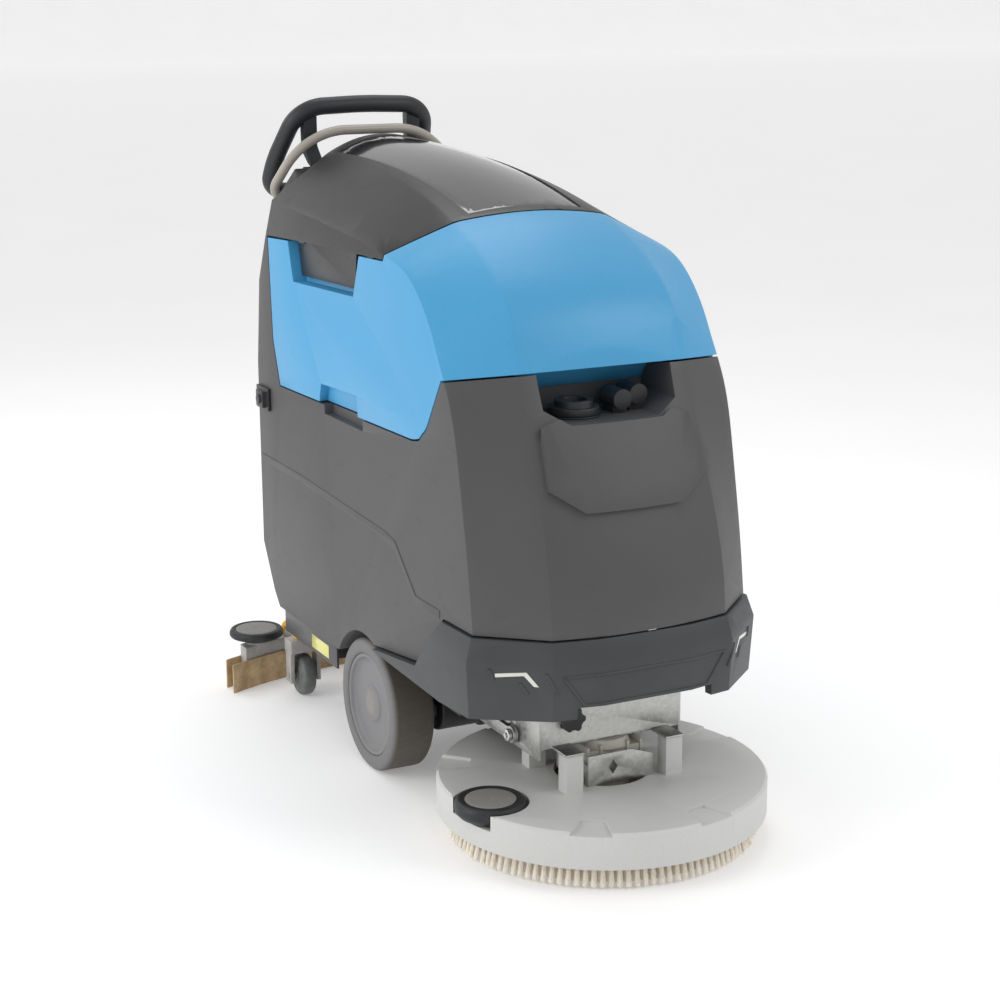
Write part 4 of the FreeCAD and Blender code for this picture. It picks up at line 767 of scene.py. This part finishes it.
# ---------------------------------------------------------------------------------
# Drive wheels: a polyurethane tyre, a dished centre and a hub cap.

for side, sign in SIDES:
    low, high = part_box(f"{side}_tyre")
    rim_low, rim_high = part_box(f"{side}_rim")
    face = Vector((high.x if sign > 0 else low.x, 0, (low.z + high.z) / 2))
    inward = Vector((-sign, 0, 0))
    reach = (high.z - low.z) / 2 / MM
    wide = (high.x - low.x) / MM
    rim = (rim_high.z - rim_low.z) / 2 / MM
    tyre = lathe(f"{side}_wheel_tyre", [(rim + 0.2, 2), (rim + 6, 0), (reach - 6, 0), (reach, 6),
                                        (reach, wide - 6), (reach - 6, wide), (rim + 0.2, wide)],
                 face, inward, TYRE, 0.003, 128)
    place_on(tyre, f"{side}_wheel", f"{side}_tyre")
    stub = (rim_high.x - rim_low.x) / MM + 5
    outline = [(0, 9), (30, 9), (34, 12), (rim - 16, 12), (rim - 9, 8), (rim - 6, 3), (rim, 3),
               (rim, wide - 4), (rim - 8, wide - 4), (rim - 8, 24), (34, 24), (34, wide), (12.5, wide),
               (12.5, stub), (0, stub)]
    centre = lathe(f"{side}_wheel_centre", outline, face, inward, WHEEL, 0.0025, 128, False)
    place_on(centre, f"{side}_wheel", f"{side}_rim")
    cap = lathe(f"{side}_hub_cap", [(0, 5), (15, 5), (20, 6.5), (25, 9.4), (25, 11), (0, 11)], face,
                inward, PALE_DISC, 0.0012, 72, False)
    place_on(cap, f"{side}_wheel")

# ---------------------------------------------------------------------------------
# Deck: roller with its disc, and the brush tufts.

low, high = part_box("deck_roller")
post = Vector(((low.x + high.x) / 2, (low.y + high.y) / 2, low.z))
ring_r = (high.x - low.x) / 2 / MM
ring_h = (high.z - low.z) / MM
ring = lathe("deck_roller_ring", [(9, 0), (ring_r - 15, 0), (ring_r - 6, 4), (ring_r, 12),
                                  (ring_r, ring_h - 7), (ring_r - 4, ring_h - 1), (ring_r - 9, ring_h),
                                  (ring_r - 14, ring_h - 2.5), (0, ring_h - 2.5), (0, ring_h - 10),
                                  (9, ring_h - 10)], post, UP, DARK_RING, 0.002, 112)
place_on(ring, "roller", "deck_roller")
disc = lathe("deck_roller_disc", [(0, ring_h - 2.4), (0, ring_h - 1.2), (6, ring_h - 0.4),
                                  (ring_r - 21, ring_h - 0.2), (ring_r - 16, ring_h - 1.2),
                                  (ring_r - 16, ring_h - 2.4)], post, UP, PALE_DISC, 0.0008, 96)
place_on(disc, "roller")

low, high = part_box("brush_bristles")
brush_centre = Vector(((low.x + high.x) / 2, (low.y + high.y) / 2, 0))
brush_r = (high.x - low.x) / 2
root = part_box("brush_block")[0].z
tufts = bmesh.new()
# Each row of tufts: how far in from the rim, how many, and how far they lean, in radians.
ROWS = ((0.0165, 118, 0.20), (0.033, 108, 0.10), (0.052, 98, 0.06), (0.072, 88, 0.04),
        (0.094, 78, 0.03), (0.118, 66, 0.02))
ROOT_SINK = 0.0005
FLOOR_GAP = 0.0003
for number, (inset, count, lean) in enumerate(ROWS):
    blank = new_object("tuft row", bpy.data.meshes.new("tuft row"))
    run_tree(blank, BRUSH_TREE, {"Part": TUFT, "Finish": BRISTLE.material, "Count": count,
                                 "Radius": brush_r - inset, "Top": root + ROOT_SINK, "Lean": lean,
                                 "Seed": number + 1})
    blank.data.transform(Matrix.Translation(brush_centre))
    tufts.from_mesh(blank.data)
    bpy.data.objects.remove(blank)
for vert in tufts.verts:
    vert.co.z = max(vert.co.z, FLOOR_GAP)
bristles = new_object("brush_tufts", mesh_of(tufts, "brush tufts"), BRISTLE)
smooth(bristles, 50)
place_on(bristles, "brush", "brush_bristles")

# ---------------------------------------------------------------------------------
# Squeegee fittings.

RIB_COUNT = 12
FLUTES = 6
FLUTE_DEEP = 2.2
for side, sign in SIDES:
    low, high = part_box(f"{side}_end_roller")
    spot = Vector(((low.x + high.x) / 2, (low.y + high.y) / 2, low.z))
    r = (high.x - low.x) / 2 / MM
    h = (high.z - low.z) / MM
    outline = [(7, 0), (r - 24, 0), (r - 13, 5), (r - 2, 9), (r, 12), (r, h - 6), (r - 3, h - 1),
               (r - 7, h), (r - 11, h - 1.6), (0, h - 1.6), (0, h - 4), (7, h - 4)]
    ring = lathe(f"{side}_roller_ring", outline, spot, UP, DARK_RING, 0.002, 96)
    place_on(ring, f"{side}_roller", f"{side}_end_roller")
    disc = lathe(f"{side}_roller_disc", [(0, h - 1.8), (0, h - 0.9), (2.2, h - 0.9), (3.2, h + 0.0),
                                         (r - 18, h - 0.3), (r - 12.5, h - 1.0), (r - 12.5, h - 1.8)],
                 spot, UP, PALE_DISC, 0.0006, 80)
    place_on(disc, f"{side}_roller")
    low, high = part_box(f"{side}_caster_wheel")
    r = (high.z - low.z) / 2 / MM
    w = (high.x - low.x) / MM
    hub = Vector((low.x, (low.y + high.y) / 2, (low.z + high.z) / 2))
    outline = [(5.2, 0), (10, 0), (10, 3.6), (r - 15, 4), (r - 12, 5.2), (r - 5, 5.2), (r - 1, 9),
               (r, 14), (r, w - 14), (r - 1, w - 9), (r - 5, w - 5.2), (r - 12, w - 5.2),
               (r - 15, w - 4), (10, w - 3.6), (10, w), (5.2, w)]
    wheel = lathe(f"{side}_caster_tyre", outline, hub, LEFT, CASTER, 0.002, 80)
    place_on(wheel, f"{side}_caster", f"{side}_caster_wheel")
    low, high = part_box(f"{side}_height_knob")
    spot = Vector(((low.x + high.x) / 2, (low.y + high.y) / 2, low.z))
    r = (high.x - low.x) / 2 / MM
    h = (high.z - low.z) / MM
    knob = lathe(f"{side}_height_grip", [(5.2, 0), (r - 3.4, 0), (r, 3), (r, h - 11), (r - 3, h - 5),
                                         (r - 9, h - 1.4), (0, h - 0.4), (0, h - 7.6), (5.2, h - 7.6)],
                 spot, UP, YELLOW, 0.0016, 64)
    shape = bmesh.new()
    shape.from_mesh(knob.data)
    for vert in shape.verts:
        arm = vert.co - spot
        out = Vector((arm.x, arm.y)).length
        if out > (r - 5) * MM:
            dip = max(0, math.cos(FLUTES * math.atan2(arm.y, arm.x))) ** 2 * FLUTE_DEEP * MM
            vert.co.x -= arm.x / out * dip
            vert.co.y -= arm.y / out * dip
    shape.to_mesh(knob.data)
    shape.free()
    place_on(knob, f"{side}_height_screw", f"{side}_height_knob")
    low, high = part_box(f"{side}_clamp_knob")
    spot = Vector(((low.x + high.x) / 2, (low.y + high.y) / 2, low.z))
    r = (high.x - low.x) / 2 / MM
    h = (high.z - low.z) / MM
    clamp = lathe(f"{side}_clamp_grip", [(5.2, 0), (r - 2.6, 0), (r, 5), (r, h - 8), (r - 4, h - 1.4),
                                         (0, h - 0.2), (0, h - 6.8), (5.2, h - 6.8)], spot, UP, YELLOW,
                  0.0016, 48)
    place_on(clamp, f"{side}_clamp", f"{side}_clamp_knob")
    ribs = []
    for i in range(RIB_COUNT):
        turn = 2 * math.pi * i / RIB_COUNT
        out = Vector((math.cos(turn), math.sin(turn), 0))
        ribs.append((spot + out * (r - 1.1) * MM + UP * h * 0.45 * MM, out, 0))
    repeat(f"{side}_clamp_ribs", rib(0.0024, 0.0016, 0.0011), ribs, YELLOW, f"{side}_clamp")

# ---------------------------------------------------------------------------------
# Fasteners and the plain label.

PIN_RADIUS = 0.010
BOLT_SINK = 0.0015
BOLT_TURN = 0.3
BOLT_SIZE = 0.9
low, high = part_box("hanger_pins")
bolts = []
for x, facing in ((low.x, -LEFT), (high.x, LEFT)):
    for z in (low.z + PIN_RADIUS, high.z - PIN_RADIUS):
        bolts.append((Vector((x, (low.y + high.y) / 2, z)) - facing * BOLT_SINK, facing, BOLT_TURN))
repeat("hanger_bolts", BOLT, bolts, PLATED, "deck", BOLT_SIZE)

LABEL_LONG = 0.080
LABEL_TALL = 0.024
tray_low, tray_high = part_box("chassis_tray")
label_y = tray_high.y - 0.215
label_z = tray_low.z + 0.0415
label_end = label_y + LABEL_LONG
label_top = label_z + LABEL_TALL


def on_skirt(u, v, lift):
    """A place on the tray's right side skirt, this far proud of it."""
    return Vector((tray_low.x - lift, u, v))


label_outline = [(label_y, label_z), (label_end, label_z), (label_end, label_top), (label_y, label_top)]
slab_piece("plain_label", label_outline, -0.0002, 0.0004, on_skirt, DECAL, "chassis", 0.0015, 0.0001)

# ---------------------------------------------------------------------------------
# Trim on the bumper and the step along each side of the lower body.

bumper_low, bumper_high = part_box("front_bumper")
bumper_skin = skin_of("front_bumper")


def on_front(x, z, lift):
    """A place on the bumper's front, this far proud of it."""
    start = Vector((x, bumper_low.y - 0.2, z))
    hit, normal, _, _ = bumper_skin.ray_cast(start, REAR)
    if hit is None:
        hit, normal = Vector((x, bumper_low.y, z)), -REAR
    return hit + normal * lift


def bead(name, path, wide, proud, finish, body, place, closed=False, pitch=0.008):
    """A low rounded bead that follows a path on a surface."""
    dots = [Vector(p) for p in path]
    line = []
    for i in range(len(dots) if closed else len(dots) - 1):
        a, b = dots[i], dots[(i + 1) % len(dots)]
        cuts = max(1, int((b - a).length / pitch))
        line += [a.lerp(b, k / cuts) for k in range(cuts)]
    if not closed:
        line.append(dots[-1])
    count = len(line)
    section = ((-1, -0.6), (-0.72, 0.55), (-0.3, 1.0), (0.3, 1.0), (0.72, 0.55), (1, -0.6))
    shape = bmesh.new()
    loops = []
    for i, dot in enumerate(line):
        before = line[i - 1] if closed or i else dot
        after = line[(i + 1) % count] if closed or i < count - 1 else dot
        run = (after - before).normalized()
        aside = Vector((-run.y, run.x))
        loops.append([shape.verts.new(place(*(dot + aside * u * wide / 2), v * proud))
                      for u, v in section])
    ends = len(loops) if closed else len(loops) - 1
    for i in range(ends):
        near, far = loops[i], loops[(i + 1) % count]
        for j in range(len(section)):
            k = (j + 1) % len(section)
            shape.faces.new([near[j], near[k], far[k], far[j]])
    if not closed:
        shape.faces.new(loops[0])
        shape.faces.new(list(reversed(loops[-1])))
    bmesh.ops.recalc_face_normals(shape, faces=shape.faces)
    item = new_object(name, mesh_of(shape, name), finish)
    smooth(item, 50)
    return place_on(item, body)


BEAD_PROUD = 0.0022
panel_top = bumper_high.z - 0.052
panel_foot = bumper_high.z - 0.100
wide_half = bumper_high.x - 0.117
narrow_half = bumper_high.x - 0.151
panel_path = [(-wide_half, panel_top), (wide_half, panel_top), (narrow_half, panel_foot),
              (-narrow_half, panel_foot)]
bead("bumper_panel_frame", panel_path, 0.006, BEAD_PROUD, BUMPER, "chassis", on_front, True)

# Both ends of each rib: millimetres in from the bumper's side and up from its foot.
BUMPER_RIBS = (((93, 91), (109, 57)), ((63, 73), (73, 57)), ((27, 91), (33, 76)))
for side, sign in SIDES:
    for number, ends in enumerate(BUMPER_RIBS):
        path = [(sign * (bumper_high.x - inward * MM), bumper_low.z + up * MM) for inward, up in ends]
        bead(f"{side}_bumper_rib_{number + 1}", path, 0.005, BEAD_PROUD, BUMPER, "chassis", on_front)

# The step's bends: millimetres back from the body's front and up from its foot.
STEP_PATH = ((1004, 276), (809, 275), (431, 259), (391, 252), (311, 180), (222, 180))
BAND = 0.007
body_low, body_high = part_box("solution_tank")
for side, sign in SIDES:
    face_x = sign * min(abs(body_low.x), abs(body_high.x))

    def on_side(y, z, lift, face_x=face_x, sign=sign):
        """A place on this side of the body, this far proud of it."""
        return Vector((face_x + sign * lift, y, z))

    bends = [(body_low.y + back * MM, body_low.z + up * MM) for back, up in STEP_PATH]
    upper = [(y, z + BAND) for y, z in bends]
    lower = [(y, z - BAND) for y, z in reversed(bends)]
    slab_piece(f"{side}_body_step", upper + lower, -0.0008, 0.0011, on_side, LOWER_BODY, "chassis",
               0.004, 0.0009)

# ---------------------------------------------------------------------------------
# The small parts that the trees set are no longer needed.

for item in [o for o in bpy.context.scene.objects if o.name.startswith(("hex bolt", "tuft", "rib"))]:
    bpy.data.objects.remove(item)

# ---------------------------------------------------------------------------------
# Floor, lights and camera.


def backdrop():
    """A pale floor that sweeps up far behind the machine."""
    shape = bmesh.new()
    profile = eased([(-20, 0), (40, 0), (40, 8)], 6.0, 12, False)
    rows = [[shape.verts.new(Vector((x, p.x, p.y))) for x in (-40, 40)] for p in profile]
    for near, far in zip(rows, rows[1:]):
        shape.faces.new([near[0], near[1], far[1], far[0]])
    finish = Finish("pale floor")
    tone = finish.blend(finish.noise(0.6, 2), (0.86, 0.86, 0.865), (0.90, 0.90, 0.90))
    finish.feed(Base_Color=tone, Roughness=0.7, Emission_Color=tone, Emission_Strength=0.24)
    floor = new_object("floor", mesh_of(shape, "floor"), finish)
    smooth(floor, 40)
    floor.data.transform(Matrix.Translation((0, 0, -0.0004)))


def softbox(name, place, target, wide, high, power):
    """A rectangular area light aimed at a place on the machine."""
    light = bpy.data.lights.new(name, "AREA")
    light.shape = "RECTANGLE"
    light.size = wide
    light.size_y = high
    light.energy = power
    item = bpy.data.objects.new(name, light)
    item.location = place
    item.rotation_euler = (Vector(target) - Vector(place)).to_track_quat("-Z", "Y").to_euler()
    bpy.context.scene.collection.objects.link(item)


backdrop()
# Each light's place, what it is aimed at, its width and height in metres, and its watts.
softbox("key", (1.9, -2.4, 2.6), (0, -0.1, 0.5), 1.6, 1.6, 26)
softbox("side", (-3.4, 0.2, 1.7), (0, 0.1, 0.5), 1.8, 2.4, 46)
softbox("top", (0.4, 0.9, 3.0), (0, 0.1, 0.8), 1.4, 1.4, 14)
softbox("rear rim", (-1.4, 2.9, 2.2), (0, 0.2, 0.8), 1.6, 1.4, 14)
WORLD_LIGHT = 0.70
world = bpy.data.worlds.new("studio")
world.use_nodes = True
world.node_tree.nodes["Background"].inputs["Color"].default_value = (1, 1, 1, 1)
world.node_tree.nodes["Background"].inputs["Strength"].default_value = WORLD_LIGHT
bpy.context.scene.world = world
bpy.context.scene.view_settings.view_transform = "Standard"

CAMERA_PLACE = mm(-1510.3, -3023.0, 1299.9)
CAMERA_TARGET = mm(-15.4, -68.8, 468.2)
CAMERA_ROLL = math.radians(-0.21)
FOCAL_LENGTH = 72.42
SENSOR_WIDTH = 36
lens = bpy.data.cameras.new("camera")
lens.lens = FOCAL_LENGTH
lens.sensor_width = SENSOR_WIDTH
camera = bpy.data.objects.new("camera", lens)
camera.location = CAMERA_PLACE
aim = (CAMERA_TARGET - CAMERA_PLACE).to_track_quat("-Z", "Y").to_matrix().to_4x4()
camera.rotation_euler = (aim @ Matrix.Rotation(CAMERA_ROLL, 4, "Z")).to_euler()
bpy.context.scene.collection.objects.link(camera)
bpy.context.scene.camera = camera
